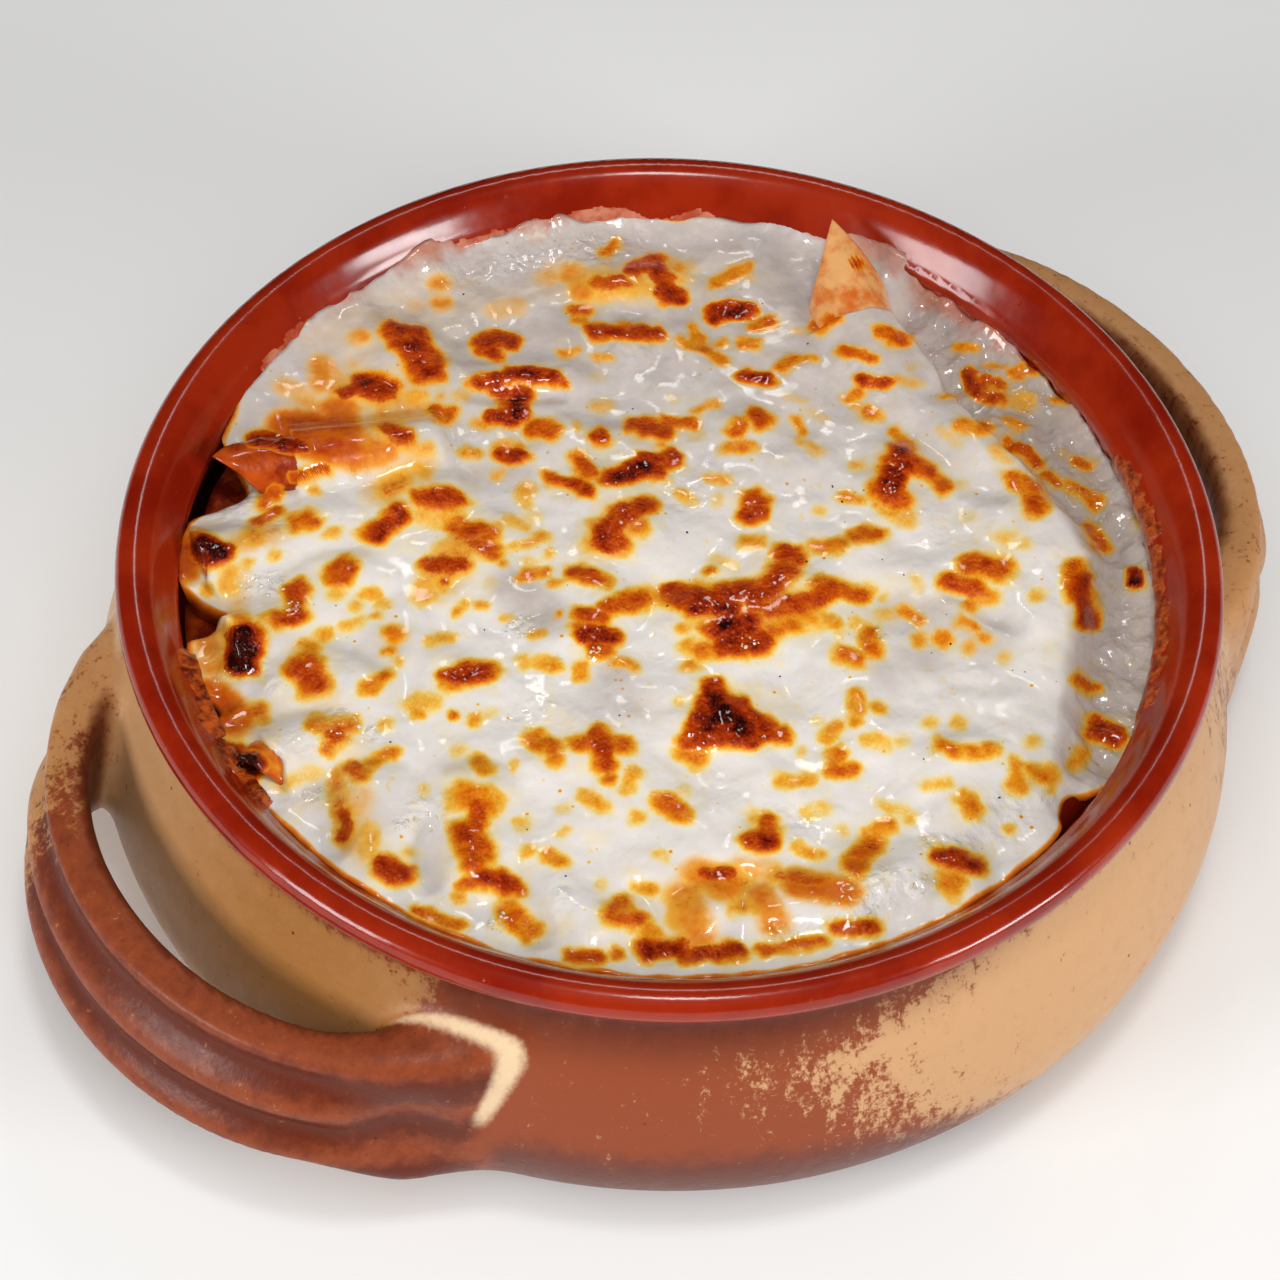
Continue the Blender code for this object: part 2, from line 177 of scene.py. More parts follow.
class Field:
    """A value that varies over a surface: one output of a material's nodes."""

    def __init__(self, paint: "Paint", socket: bpy.types.NodeSocket) -> None:
        """Wrap a socket.

        Args:
            paint: Material that the socket belongs to.
            socket: Output that gives the value.
        """
        self.paint = paint
        self.socket = socket

    def __add__(self, other: Value) -> "Field":
        """Sum."""
        return self.paint.maths("ADD", self, other)

    __radd__ = __add__

    def __sub__(self, other: Value) -> "Field":
        """Difference."""
        return self.paint.maths("SUBTRACT", self, other)

    def __rsub__(self, other: Value) -> "Field":
        """Difference from a number."""
        return self.paint.maths("SUBTRACT", other, self)

    def __mul__(self, other: Value) -> "Field":
        """Product."""
        return self.paint.maths("MULTIPLY", self, other)

    __rmul__ = __mul__

    def most(self, other: Value) -> "Field":
        """Larger of two values."""
        return self.paint.maths("MAXIMUM", self, other)

    def least(self, other: Value) -> "Field":
        """Smaller of two values."""
        return self.paint.maths("MINIMUM", self, other)

    def step(self, low: float, high: float) -> "Field":
        """Smooth share, from 0 at low to 1 at high; high may be the smaller one."""
        return self.paint.node("ShaderNodeMapRange", {"interpolation_type": "SMOOTHSTEP"},
                               {0: self, 1: low, 2: high, 3: 0.0, 4: 1.0})


class Paint:
    """A material that is mixed node by node, in millimetres over the object."""

    def __init__(self, name: str, **constants: Any) -> None:
        """Start a material.

        Args:
            name: Name of the finish.
            constants: Values of the shader's own sockets, with _ in place of each space.
        """
        self.material = bpy.data.materials.new(name)
        self.material.use_nodes = True
        self.tree = self.material.node_tree
        self.shader = self.tree.nodes["Principled BSDF"]
        for socket, value in constants.items():
            self.shader.inputs[socket.replace("_", " ")].default_value = value
        metres = self.node("ShaderNodeTexCoord", output="Object")
        self.place = self.node("ShaderNodeVectorMath", {"operation": "SCALE"},
                               {0: metres, "Scale": 1.0 / MM})

    def node(self, kind: str, settings: Optional[dict[str, Any]] = None,
             inputs: Optional[dict[Any, Any]] = None, output: Union[int, str] = 0) -> Field:
        """Add a node.

        Args:
            kind: Blender's name of the node's type.
            settings: Its properties, set first; "stops" are a colour ramp's places and colours.
            inputs: Values or fields for its input sockets, by name or number.
            output: Socket that the result comes from.

        Returns:
            That output as a field.
        """
        node = self.tree.nodes.new(kind)
        for name, value in (settings or {}).items():
            if name == "stops":
                ramp = node.color_ramp
                while len(ramp.elements) < len(value):
                    ramp.elements.new(0.5)
                for element, (position, colour) in zip(ramp.elements, value):
                    element.position, element.color = position, colour
            else:
                setattr(node, name, value)
        for key, value in (inputs or {}).items():
            if isinstance(value, Field):
                self.tree.links.new(value.socket, node.inputs[key])
            else:
                node.inputs[key].default_value = value
        return Field(self, node.outputs[output])

    def maths(self, operation: str, *values: Value) -> Field:
        """Combine numbers by one operation of the Math node."""
        return self.node("ShaderNodeMath", {"operation": operation}, dict(enumerate(values)))

    def attribute(self, name: str) -> Field:
        """Value stored on the piece's vertices."""
        return self.node("ShaderNodeAttribute", {"attribute_name": name}, output="Fac")

    def noise(self, size: float, detail: float = 2.0, roughness: float = 0.5,
              stretch: Optional[Sequence[float]] = None, shift: float = 0.0) -> Field:
        """Cloudy pattern around 0.5.

        Args:
            size: Size of its lumps in millimetres.
            detail: Octaves of finer lumps.
            roughness: Strength of the finer lumps.
            stretch: Multipliers of the lumps' sizes along X, Y and Z.
            shift: Distance that picks another part of the pattern.

        Returns:
            The pattern.
        """
        place = self.place
        if stretch or shift:
            scale = tuple(1.0 / part for part in (stretch or (1.0, 1.0, 1.0)))
            place = self.node("ShaderNodeMapping", None,
                              {"Vector": place, "Scale": scale, "Location": (shift, shift, shift)})
        return self.node("ShaderNodeTexNoise", None,
                         {"Vector": place, "Scale": 1.0 / size, "Detail": detail, "Roughness": roughness})

    def pebbles(self, size: float, soft: bool = False) -> Field:
        """Distance to the middle of round cells, in cells; soft cells run into each other."""
        inputs: dict[Any, Any] = {"Vector": self.place, "Scale": 1.0 / size}
        if soft:
            inputs["Smoothness"] = 0.3
        return self.node("ShaderNodeTexVoronoi", {"feature": "SMOOTH_F1" if soft else "F1"}, inputs,
                         "Distance")

    def dots(self, size: float, edge: float, patches: float, shift: float,
             low: float = 0.5, high: float = 0.6) -> Field:
        """Small round dots in some patches of the surface.

        Args:
            size: Distance between dots in millimetres.
            edge: Distance from a dot's middle, in cells, at which it ends.
            patches: Size of the patches in millimetres.
            shift: Distance that picks another set of patches.
            low: Value of the patches' pattern up to which no dot shows.
            high: Value from which every dot shows.

        Returns:
            A share that is 1 in the dots.
        """
        here = self.noise(patches, 2.0, shift=shift).step(low, high)
        return (1.0 - self.pebbles(size).step(0.05, edge)) * here

    def ramp(self, value: Field, stops: Sequence[tuple[float, Colour]]) -> Field:
        """Colour that follows a value."""
        return self.node("ShaderNodeValToRGB", {"stops": stops}, {0: value}, "Color")

    def mix(self, share: Value, first: Any, second: Any, blend: str = "MIX") -> Field:
        """Blend two colours by a share."""
        return self.node("ShaderNodeMix", {"data_type": "RGBA", "blend_type": blend},
                         {0: share, 6: first, 7: second}, 2)

    def relief(self, layers: Sequence[tuple[Field, float]]) -> None:
        """Give the surface a fine relief.

        Args:
            layers: Each pattern of heights with its depth in millimetres.
        """
        normal: Optional[Field] = None
        for height, depth in layers:
            inputs: dict[Any, Any] = {"Strength": 1.0, "Distance": depth * MM, "Height": height}
            if normal:
                inputs["Normal"] = normal
            normal = self.node("ShaderNodeBump", None, inputs)
        self.feed("Normal", normal)

    def feed(self, socket: str, value: Field) -> None:
        """Link a varying value to the shader."""
        self.tree.links.new(value.socket, self.shader.inputs[socket])


def srgb(red: int, green: int, blue: int) -> Colour:
    """Colour as the shader wants it, from 0 to 255 as a screen shows it."""
    def linear(part: int) -> float:
        """One part of the colour, without the screen's curve."""
        share = part / 255.0
        return share / 12.92 if share <= 0.04045 else ((share + 0.055) / 1.055) ** 2.4
    return (linear(red), linear(green), linear(blue), 1.0)


# ---------------------------------------------------------------- finishes

class Slot(Enum):
    """Material slots of the record."""

    STONEWARE = "stoneware"
    CHEESE = "cheese"
    SAUCE = "sauce"
    PASTA = "pasta"


BROWNING: tuple[tuple[float, Colour], ...] = (
    (0.00, srgb(229, 222, 216)),
    (0.06, srgb(235, 214, 158)),
    (0.15, srgb(238, 188, 76)),
    (0.29, srgb(228, 146, 26)),
    (0.45, srgb(207, 94, 10)),
    (0.63, srgb(180, 60, 7)),
    (0.80, srgb(138, 33, 5)),
    (0.93, srgb(84, 17, 5)),
    (1.00, srgb(44, 9, 6)),
)

SAUCE_STAIN: tuple[tuple[float, Colour], ...] = (
    (0.00, srgb(238, 216, 150)),
    (0.30, srgb(238, 180, 66)),
    (0.62, srgb(218, 112, 18)),
    (1.00, srgb(182, 58, 8)),
)


@dataclass(frozen=True)
class CheeseFinish:
    """Wet ivory cheese that browns through orange and red-brown to black, with painted shade in the low
    gutter and towards the back.
    """

    gutter_shade: Colour = srgb(214, 206, 202)
    veil: Colour = srgb(180, 166, 160)
    film: Colour = srgb(186, 108, 84)
    stain: Colour = srgb(226, 200, 140)

    def make(self) -> bpy.types.Material:
        """Mix the finish, which reads the cheese's browning, sauce, veil, film, wet and low values."""
        paint = Paint("melted_cheese", Subsurface_Weight=0.25, Subsurface_Radius=(1.0, 0.6, 0.4),
                      Subsurface_Scale=1.4 * MM, Coat_Roughness=0.07, IOR=1.45, Specular_IOR_Level=0.2)
        browning = paint.attribute("browning")
        present = browning.step(0.01, 0.16)
        grainy = ((paint.noise(1.7, 3.0, 0.62) - 0.5) * 0.55
                  + (paint.noise(0.5, 2.0, 0.6, shift=40.0) - 0.5) * 0.36)
        brown = browning + grainy * present * (0.3 + browning * 0.9)
        blotches = (paint.noise(8.0, 3.0, 0.6, shift=90.0).step(0.55, 0.78) * 0.04
                    + paint.noise(2.0, 2.0, 0.6, shift=12.0).step(0.64, 0.78) * 0.06)
        dots = paint.dots(2.7, 0.15, 9.0, 52.0, 0.48, 0.62)
        colour = paint.ramp(brown.most(blotches).most(dots * 0.34), BROWNING)
        clean = 1.0 - brown.step(0.05, 0.3)
        # Painted shade: the low gutter beside the right-hand wall is greyed by a multiply
        shaded = paint.mix(1.0, colour, self.gutter_shade, "MULTIPLY")
        colour = paint.mix(paint.attribute("low") * clean, colour, shaded)
        # Thin cheese where the food shows through, and painted shade that grows towards the back of the
        # dish
        veil = (paint.attribute("veil") * (0.4 + paint.noise(4.0, 3.0, 0.6, shift=23.0))).least(1.0)
        colour = paint.mix(veil * clean * 0.9, colour, self.veil)
        film = paint.attribute("film")
        patchy = film + (paint.noise(3.4, 2.0, 0.5, shift=67.0) - 0.5) * 0.9
        colour = paint.mix(patchy.step(0.4, 1.0) * film.step(0.0, 0.4) * 0.8, colour, self.film)
        sauce = paint.attribute("sauce")
        sauce = (sauce * (0.5 + paint.noise(2.6, 4.0, 0.65, shift=5.0))).least(1.0)
        stained = sauce.step(0.05, 0.5) * (1.0 - brown.step(0.25, 0.5))
        colour = paint.mix(stained, colour, paint.ramp(sauce, SAUCE_STAIN))
        mottle = paint.noise(5.0, 4.0, 0.6, shift=71.0).step(0.4, 0.75)
        colour = paint.mix(mottle * clean * 0.08, colour, self.stain)
        paint.feed("Base Color", colour)
        wet = paint.attribute("wet")
        damp = paint.noise(6.0, 3.0, 0.55, shift=33.0).step(0.42, 0.62)
        charred = brown.step(0.3, 0.7)
        paint.feed("Roughness", (0.27 - damp * 0.08 - charred * 0.04 - wet * 0.14).most(0.12))
        coat = 0.35 + damp * 0.35 + charred * 0.25 + sauce * 0.5 + wet * 0.8
        paint.feed("Coat Weight", coat.least(1.0))
        grain = paint.pebbles(0.8, soft=True)
        paint.relief([
            (paint.noise(6.0, 1.5, 0.4), 0.6),
            (paint.noise(2.6, 1.0, 0.4, shift=75.0), 0.16),
            (paint.noise(1.3, 2.0, 0.5, shift=8.0) * (0.06 + damp * 0.16 + wet), 0.45),
            ((1.0 - grain) * charred, 0.3),
        ])
        return paint.material


@dataclass(frozen=True)
class GlazeFinish:
    """Glossy brick-red glaze inside and on the lip, satin tan and rust glaze outside; the dark band under
    the lip is partly the glaze's own and partly painted shade, and the straps' inner faces carry painted
    shade.
    """

    red: Colour = srgb(152, 38, 10)
    red_deep: Colour = srgb(126, 22, 4)
    tan: Colour = srgb(200, 154, 110)
    honey: Colour = srgb(170, 114, 60)
    rust: Colour = srgb(142, 68, 38)
    rust_deep: Colour = srgb(96, 38, 20)
    plum: Colour = srgb(94, 52, 44)
    # The shade colour is painted shade, laid under the lip and on the straps' faces inside the handle loops
    shade: Colour = srgb(86, 30, 12)
    cream: Colour = srgb(236, 208, 168)
    speck: Colour = srgb(70, 34, 22)

    def make(self) -> bpy.types.Material:
        """Mix the finish, which reads what the dish's mark method stores."""
        paint = Paint("stoneware_glaze", Coat_Roughness=0.13, IOR=1.5, Specular_IOR_Level=0.2)
        inside = paint.attribute("inside")
        cloudy = paint.noise(16.0, 4.0, 0.6)
        red = paint.mix(cloudy.step(0.35, 0.7), self.red, self.red_deep)
        red = paint.mix(paint.dots(5.2, 0.08, 9.0, 17.0) * 0.5, red, self.rust)
        streaks = paint.noise(2.0, 4.0, 0.7, (1.0, 1.0, 4.0), 13.0) - 0.5
        mottle = paint.noise(3.0, 5.0, 0.7, shift=55.0) - 0.5
        fine = paint.noise(0.8, 3.0, 0.7, shift=31.0) - 0.5
        tan = paint.mix(paint.attribute("honey") + mottle * 0.6, self.tan, self.honey)
        # Darker rust in the straps' grooves, and under the lip, where it is partly painted shade
        groove = (paint.attribute("groove") + mottle * 1.1).step(0.2, 0.9)
        rust = paint.mix(groove, self.rust, self.rust_deep)
        edge = paint.attribute("rust") + streaks * 1.6 + mottle * 1.0 + fine * 1.4
        outside = paint.mix(edge.step(0.30, 0.70), tan, rust)
        plum = (paint.attribute("plum") + mottle * 0.7).step(0.3, 0.9)
        outside = paint.mix(plum * 0.8, outside, self.plum)
        # Painted shade under the lip and on the straps' inner faces, by the stored shade share
        shade = paint.attribute("shade") * (1.0 + mottle * 0.6 + streaks * 0.4)
        outside = paint.mix(shade.least(1.0) * 0.95, outside, self.shade)
        cream = paint.attribute("cream") + mottle * 0.3 + fine * 0.3
        outside = paint.mix(cream.step(0.42, 1.0) * 0.85, outside, self.cream)
        outside = paint.mix(paint.dots(4.2, 0.085, 11.0, 27.0) * 0.75, outside, self.speck)
        wander = inside + (paint.noise(3.0, 3.0, 0.6, shift=81.0) - 0.5) * 0.2
        paint.feed("Base Color", paint.mix(wander.step(0.42, 0.58), outside, red))
        paint.feed("Roughness", 0.36 + mottle * 0.3 - inside * 0.13)
        paint.feed("Coat Weight", inside * 0.5)
        pits = paint.pebbles(6.5).step(0.03, 0.075)
        paint.relief([
            (paint.noise(7.0, 2.0, 0.5, shift=61.0), 0.14),
            (paint.noise(0.9, 3.0, 0.6) * (1.15 - inside), 0.06),
            (pits, 0.08),
        ])
        return paint.material


@dataclass(frozen=True)
class PastaFinish:
    """Cooked pasta stained orange by the sauce, wet, and charred where the oven caught it, with painted
    shade in the bores.
    """

    dough: Colour = srgb(228, 144, 40)
    sauced: Colour = srgb(198, 76, 12)
    deep: Colour = srgb(90, 14, 4)

    def make(self, name: str, redness: float) -> bpy.types.Material:
        """Mix the finish.

        Args:
            name: Name of the material.
            redness: Share of the pasta that the sauce stains.

        Returns:
            The material, which reads the pasta's browning and hollow values.
        """
        paint = Paint(name, Subsurface_Weight=0.15, Subsurface_Radius=(1.0, 0.4, 0.15),
                      Subsurface_Scale=1.5 * MM, Coat_Roughness=0.05, IOR=1.45, Specular_IOR_Level=0.25)
        cloudy = paint.noise(5.5, 4.0, 0.6, shift=4.0)
        stained = (cloudy + (redness - 0.5) * 0.9).step(0.36, 0.66)
        colour = paint.mix(stained, self.dough, self.sauced)
        # Painted shade inside each tube's bore, and over a whole tube by its share of painted shade
        colour = paint.mix(paint.attribute("hollow"), colour, self.deep)
        browning = paint.attribute("browning")
        brown = browning + (paint.noise(1.1, 3.0, 0.6) - 0.5) * 0.4 * browning.step(0.02, 0.3)
        burnt = paint.ramp(brown, BROWNING)
        colour = paint.mix(brown.step(0.18, 0.42), colour, burnt)
        paint.feed("Base Color", colour)
        paint.feed("Roughness", 0.36 - cloudy * 0.16)
        paint.feed("Coat Weight", 0.45 + cloudy * 0.5)
        crust = (1.0 - paint.pebbles(0.8, soft=True)) * brown.step(0.5, 0.9)
        paint.relief([(paint.noise(2.6, 3.0, 0.55, shift=9.0), 0.22), (crust, 0.5)])
        return paint.material


@dataclass(frozen=True)
class PlainFinish:
    """One kind of wet or dry food, mottled between two colours."""

    name: str
    first: Colour
    second: Colour
    size: float = 3.0
    roughness: float = 0.3
    coat: float = 0.5
    depth: float = 0.2
    subsurface: float = 0.0

    def make(self) -> bpy.types.Material:
        """Mix the finish."""
        paint = Paint(self.name, Coat_Weight=self.coat, Coat_Roughness=0.05,
                      Subsurface_Weight=self.subsurface, Subsurface_Radius=(1.0, 0.5, 0.3),
                      Subsurface_Scale=1.0 * MM)
        cloudy = paint.noise(self.size, 4.0, 0.6)
        paint.feed("Base Color", paint.mix(cloudy.step(0.38, 0.62), self.first, self.second))
        paint.feed("Roughness", self.roughness + (cloudy - 0.5) * 0.2)
        paint.relief([(paint.noise(self.size * 0.5, 3.0, 0.6, shift=7.0), self.depth)])
        return paint.material


# ---------------------------------------------------------------- pieces

def mesh_from(bm: bmesh.types.BMesh, name: str) -> bpy.types.Mesh:
    """Turn a bmesh into a mesh, and free it."""
    mesh = bpy.data.meshes.new(name)
    bm.to_mesh(mesh)
    bm.free()
    return mesh


def placed(name: str, data: bpy.types.ID) -> bpy.types.Object:
    """New object in the scene."""
    thing = bpy.data.objects.new(name, data)
    bpy.context.scene.collection.objects.link(thing)
    return thing


def piece_from(bm: bmesh.types.BMesh, name: str, material: bpy.types.Material,
               nodes: Iterable[str] = ()) -> bpy.types.Object:
    """Turn a bmesh in metres into a finished piece that rides with the part.

    Args:
        bm: The shape, which is freed.
        name: Name of the piece.
        material: Its finish.
        nodes: CAD nodes that the piece stands for.

    Returns:
        The piece.
    """
    return dress(mesh_from(bm, name), name, material, nodes)


def dress(mesh: bpy.types.Mesh, name: str, material: bpy.types.Material,
          nodes: Iterable[str] = ()) -> bpy.types.Object:
    """Make a finished, smooth piece of a mesh; the arguments are those of piece_from."""
    mesh.name = name
    mesh.shade_smooth()
    mesh.materials.clear()
    mesh.materials.append(material)
    piece = placed(name, mesh)
    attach(piece, "root")
    for node in nodes:
        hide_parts(node)
    mesh.calc_loop_triangles()
    LOG.info("%s: %d triangles", name, len(mesh.loop_triangles))
    return piece


def vertex_places(mesh: bpy.types.Mesh) -> np.ndarray:
    """Vertices of a mesh in millimetres, one row each."""
    flat = np.empty(len(mesh.vertices) * 3, np.float32)
    mesh.vertices.foreach_get("co", flat)
    return flat.reshape(-1, 3).astype(float) / MM


def move_vertices(mesh: bpy.types.Mesh, places: np.ndarray) -> None:
    """Put the vertices of a mesh at places in millimetres."""
    mesh.vertices.foreach_set("co", (places * MM).astype(np.float32).ravel())
    mesh.update()


def store(mesh: bpy.types.Mesh, name: str, values: np.ndarray) -> None:
    """Keep one number for each vertex, for the finish to read."""
    layer = mesh.attributes.new(name, "FLOAT", "POINT")
    layer.data.foreach_set("value", values.astype(np.float32))


def grid_skin(columns: int, rows: int) -> tuple[bmesh.types.BMesh, np.ndarray]:
    """Flat grid over the square from -1 to 1, and the places of its vertices."""
    bm = bmesh.new()
    bmesh.ops.create_grid(bm, x_segments=columns, y_segments=rows, size=1.0)
    bm.verts.ensure_lookup_table()
    return bm, np.array([vert.co[:2] for vert in bm.verts])


def turned_skin(points: Iterable[Sequence[float]], axis: Sequence[float], steps: int,
                merge: float) -> bmesh.types.BMesh:
    """Closed skin that a line of points leaves behind in one full turn.

    Args:
        points: The line, which starts and ends on the axis.
        axis: Direction of the axis, which passes through the origin.
        steps: Steps of the turn.
        merge: Distance below which points become one.

    Returns:
        The skin.
    """
    bm = bmesh.new()
    line = [bm.verts.new(point) for point in points]
    edges = [bm.edges.new(pair) for pair in zip(line, line[1:])]
    bmesh.ops.spin(bm, geom=[*line, *edges], cent=(0.0, 0.0, 0.0), axis=axis, angle=math.tau,
                   steps=steps, use_merge=True, use_duplicate=False)
    bmesh.ops.remove_doubles(bm, verts=bm.verts, dist=merge)
    bmesh.ops.recalc_face_normals(bm, faces=bm.faces)
    return bm


def disc_mesh(name: str, cells: int) -> bpy.types.Mesh:
    """Closed flat box over the square from -1 to 1, in metres, that is bent into a disc later.

    Its top is a grid at height 0, and its skirt and bottom stand at height -1.
    """
    bm = bmesh.new()
    bmesh.ops.create_grid(bm, x_segments=cells, y_segments=cells, size=1.0)
    border = [edge for edge in bm.edges if edge.is_boundary]
    skirt = bmesh.ops.extrude_edge_only(bm, edges=border)["geom"]
    lower = [item for item in skirt if isinstance(item, bmesh.types.BMVert)]
    bmesh.ops.translate(bm, verts=lower, vec=(0.0, 0.0, -1.0))
    bmesh.ops.holes_fill(bm, edges=[edge for edge in bm.edges if edge.is_boundary], sides=0)
    bmesh.ops.recalc_face_normals(bm, faces=bm.faces)
    return mesh_from(bm, name)


def square_to_disc(places: np.ndarray) -> tuple[np.ndarray, np.ndarray]:
    """Radius share and bearing of points of the square from -1 to 1, evenly spread over a disc."""
    a, b = places[:, 0], places[:, 1]
    wide = np.abs(a) > np.abs(b)
    safe_a, safe_b = np.where(a == 0.0, 1.0, a), np.where(b == 0.0, 1.0, b)
    share = np.where(wide, a, b)
    angle = np.where(wide, math.pi / 4.0 * b / safe_a, math.pi / 2.0 - math.pi / 4.0 * a / safe_b)
    return np.abs(share), np.where(share < 0.0, angle + math.pi, angle)


@dataclass(frozen=True)
class Handle:
    """One strap handle, bowed out from the wall along X."""

    side: float
    reach: float
    spread: float
    fullness: float
    bearing: float
    lean: float


@dataclass(frozen=True)
class StonewareDish:
    """The dish: a turned wall with a rolled lip, and two ribbed strap handles fused to it."""

    wall_points: tuple[tuple[float, float], ...] = (
        (56.0, 6.5), (75.7, 10.5), (83.7, 20.0), (81.1, 32.0), (75.7, 46.0), (77.2, 50.2), (79.8, 54.0),
        (82.4, 55.0), (84.3, 54.1), (85.0, 52.1), (84.1, 50.0), (82.3, 47.4), (83.9, 42.0), (87.9, 32.0),
        (90.5, 19.0), (86.9, 8.0), (77.0, 2.6), (64.0, 0.0))
    crest_point: int = 7
    per_span: int = 12
    turn_steps: int = 160
    handles: tuple[Handle, ...] = (Handle(-1.0, 103.4, 46.4, 0.92, -3.4, 0.27),
                                   Handle(1.0, 100.3, 47.4, 0.89, -1.6, 0.15))
    root: float = 62.0
    bow_end: float = math.radians(86.0)
    strap_height: float = 23.0
    strap_thick: float = 8.2
    strap_middle: float = 27.75
    rib_height: float = 1.2
    rib_count: float = 2.4
    lobe_fullness: float = 2.0
    lobe_growth: float = 5.0
    lobe_sink: float = 1.4
    lobe_rim: float = 0.9
    curl_height: float = 1.3
    thumb_depth: float = 2.4
    inside_wall: float = 85.0
    root_reach: float = 20.0
    loop_middle: float = 80.0
    fillet: float = 5.0
    voxel: float = 1.2
    merge: float = 0.002
    strap_cells: tuple[int, int] = (110, 72)
    strap_from: float = 55.0
    strap_radius: float = 80.0
    far: float = 50.0
    inside_point: int = 3
    settle_steps: int = 4
    batch: int = 20000

    @property
    def crest_height(self) -> float:
        """Height of the lip's crest."""
        return self.wall_points[self.crest_point][1]

    def profile(self) -> np.ndarray:
        """Section of the wall from the edge of the floor over the lip down to the foot."""
        curve = catmull_rom(self.wall_points, self.per_span)
        curve[:, 1] = np.clip(curve[:, 1], 0.0, self.crest_height)
        return np.vstack([[0.0, self.wall_points[0][1]], curve, [0.0, 0.0]])

    def bow(self, handle: Handle, angle: np.ndarray) -> np.ndarray:
        """Middle of a strap in plan at bow angles."""
        x = self.root + (handle.reach - self.root) * np.maximum(np.cos(angle), 0.0) ** handle.fullness
        y = handle.spread * np.sin(angle)
        turn = math.radians(handle.bearing)
        return np.stack([handle.side * (x * math.cos(turn) - y * math.sin(turn)),
                         x * math.sin(turn) + y * math.cos(turn)], 1)

    def rib_wave(self, share: np.ndarray) -> np.ndarray:
        """Ribs over the height of a strap, 1 on each crest and -1 in each groove."""
        return np.cos(math.tau * self.rib_count * (1.0 - share))

    def strap_places(self, handle: Handle, angle: np.ndarray, turn: np.ndarray) -> np.ndarray:
        """Points of a strap's skin.

        Args:
            handle: The handle.
            angle: Bow angles, 0 at the outermost place.
            turn: Angles round the strap's section, 0 on its outer face.

        Returns:
            One row for each point.
        """
        step = math.radians(0.5)
        along = self.bow(handle, angle + step) - self.bow(handle, angle - step)
        along /= np.linalg.norm(along, axis=1)[:, None]
        outward = handle.side * np.stack([along[:, 1], -along[:, 0]], 1)
        end_share = np.abs(angle) / self.bow_end
        lobe = smooth_step(0.50, 0.75, end_share)
        thumb = peak(end_share, 0.72, 0.09)
        half_height = 0.5 * self.strap_height + 0.5 * self.lobe_growth * lobe
        half_thick = 0.5 * self.strap_thick + 0.5 * self.lobe_fullness * lobe
        width, rise = np.cos(turn), np.sin(turn)
        height = half_height * np.sign(rise) * np.abs(rise) ** 0.8
        offset = half_thick * np.sign(width) * np.abs(width) ** 0.6
        share = 0.5 + 0.5 * height / half_height
        rib = self.rib_height * self.rib_wave(share)
        press = self.thumb_depth * peak(share, 0.42, 0.26)
        curl = self.curl_height * peak(end_share, 0.84, 0.05) * bell(1.6 * share - 0.9)
        face = smooth_step(0.0, 0.35, width)
        rim = self.lobe_rim * np.cos(math.tau * (share - 1.0))
        offset += face * (rib * (1.0 - lobe) + rim * lobe - press * thumb + curl)
        offset -= handle.lean * np.cos(angle) * height
        plan = self.bow(handle, angle) + outward * offset[:, None]
        return np.column_stack([plan, self.strap_middle - self.lobe_sink * lobe + height])

    def strap_mesh(self, handle: Handle, trimmed: bool) -> bmesh.types.BMesh:
        """Fine closed skin of one strap.

        Args:
            handle: The handle.
            trimmed: Whether its ends are flattened inside the wall, or run on into it.

        Returns:
            The skin in metres.
        """
        bm, grid = grid_skin(*self.strap_cells)
        places = self.strap_places(handle, grid[:, 0] * self.bow_end, grid[:, 1] * math.pi)
        if trimmed:
            radius = np.hypot(places[:, 0], places[:, 1])
            places[:, :2] *= (np.maximum(radius, self.inside_wall) / radius)[:, None]
        for vert, place in zip(bm.verts, places):
            vert.co = Vector(place) * MM
        bmesh.ops.remove_doubles(bm, verts=bm.verts, dist=self.merge * MM)
        ends = [edge for edge in bm.edges if edge.is_boundary]
        if not trimmed:
            grown = bmesh.ops.extrude_edge_only(bm, edges=ends)["geom"]
            inner = [item for item in grown if isinstance(item, bmesh.types.BMVert)]
            bmesh.ops.translate(bm, verts=inner, vec=(-handle.side * self.root_reach * MM, 0.0, 0.0))
            ends = [edge for edge in bm.edges if edge.is_boundary]
        bmesh.ops.holes_fill(bm, edges=ends, sides=0)
        bmesh.ops.recalc_face_normals(bm, faces=bm.faces)
        return bm

    def rough_shape(self) -> bpy.types.Mesh:
        """Wall and straps fused into one closed mesh of even cells."""
        section = [(radius * MM, 0.0, height * MM) for radius, height in self.profile()]
        bm = turned_skin(section, (0.0, 0.0, 1.0), self.turn_steps, self.merge * MM)
        for handle in self.handles:
            strap = mesh_from(self.strap_mesh(handle, True), "strap_rough")
            bm.from_mesh(strap)
            bpy.data.meshes.remove(strap)
        mesh = mesh_from(bm, "dish_rough")
        rough = placed("dish_rough", mesh)
        remesh = rough.modifiers.new("even_cells", "REMESH")
        remesh.mode = "VOXEL"
        remesh.voxel_size = self.voxel * MM
        graph = bpy.context.evaluated_depsgraph_get()
        fused = bpy.data.meshes.new_from_object(rough.evaluated_get(graph))
        bpy.data.objects.remove(rough)
        bpy.data.meshes.remove(mesh)
        return fused

    def inside_radius(self, height: np.ndarray) -> np.ndarray:
        """Radius of the inside wall at heights from its belly to the lip."""
        inside = self.profile()[self.per_span * self.inside_point:self.per_span * self.crest_point + 1]
        return np.interp(height, inside[:, 1], inside[:, 0])

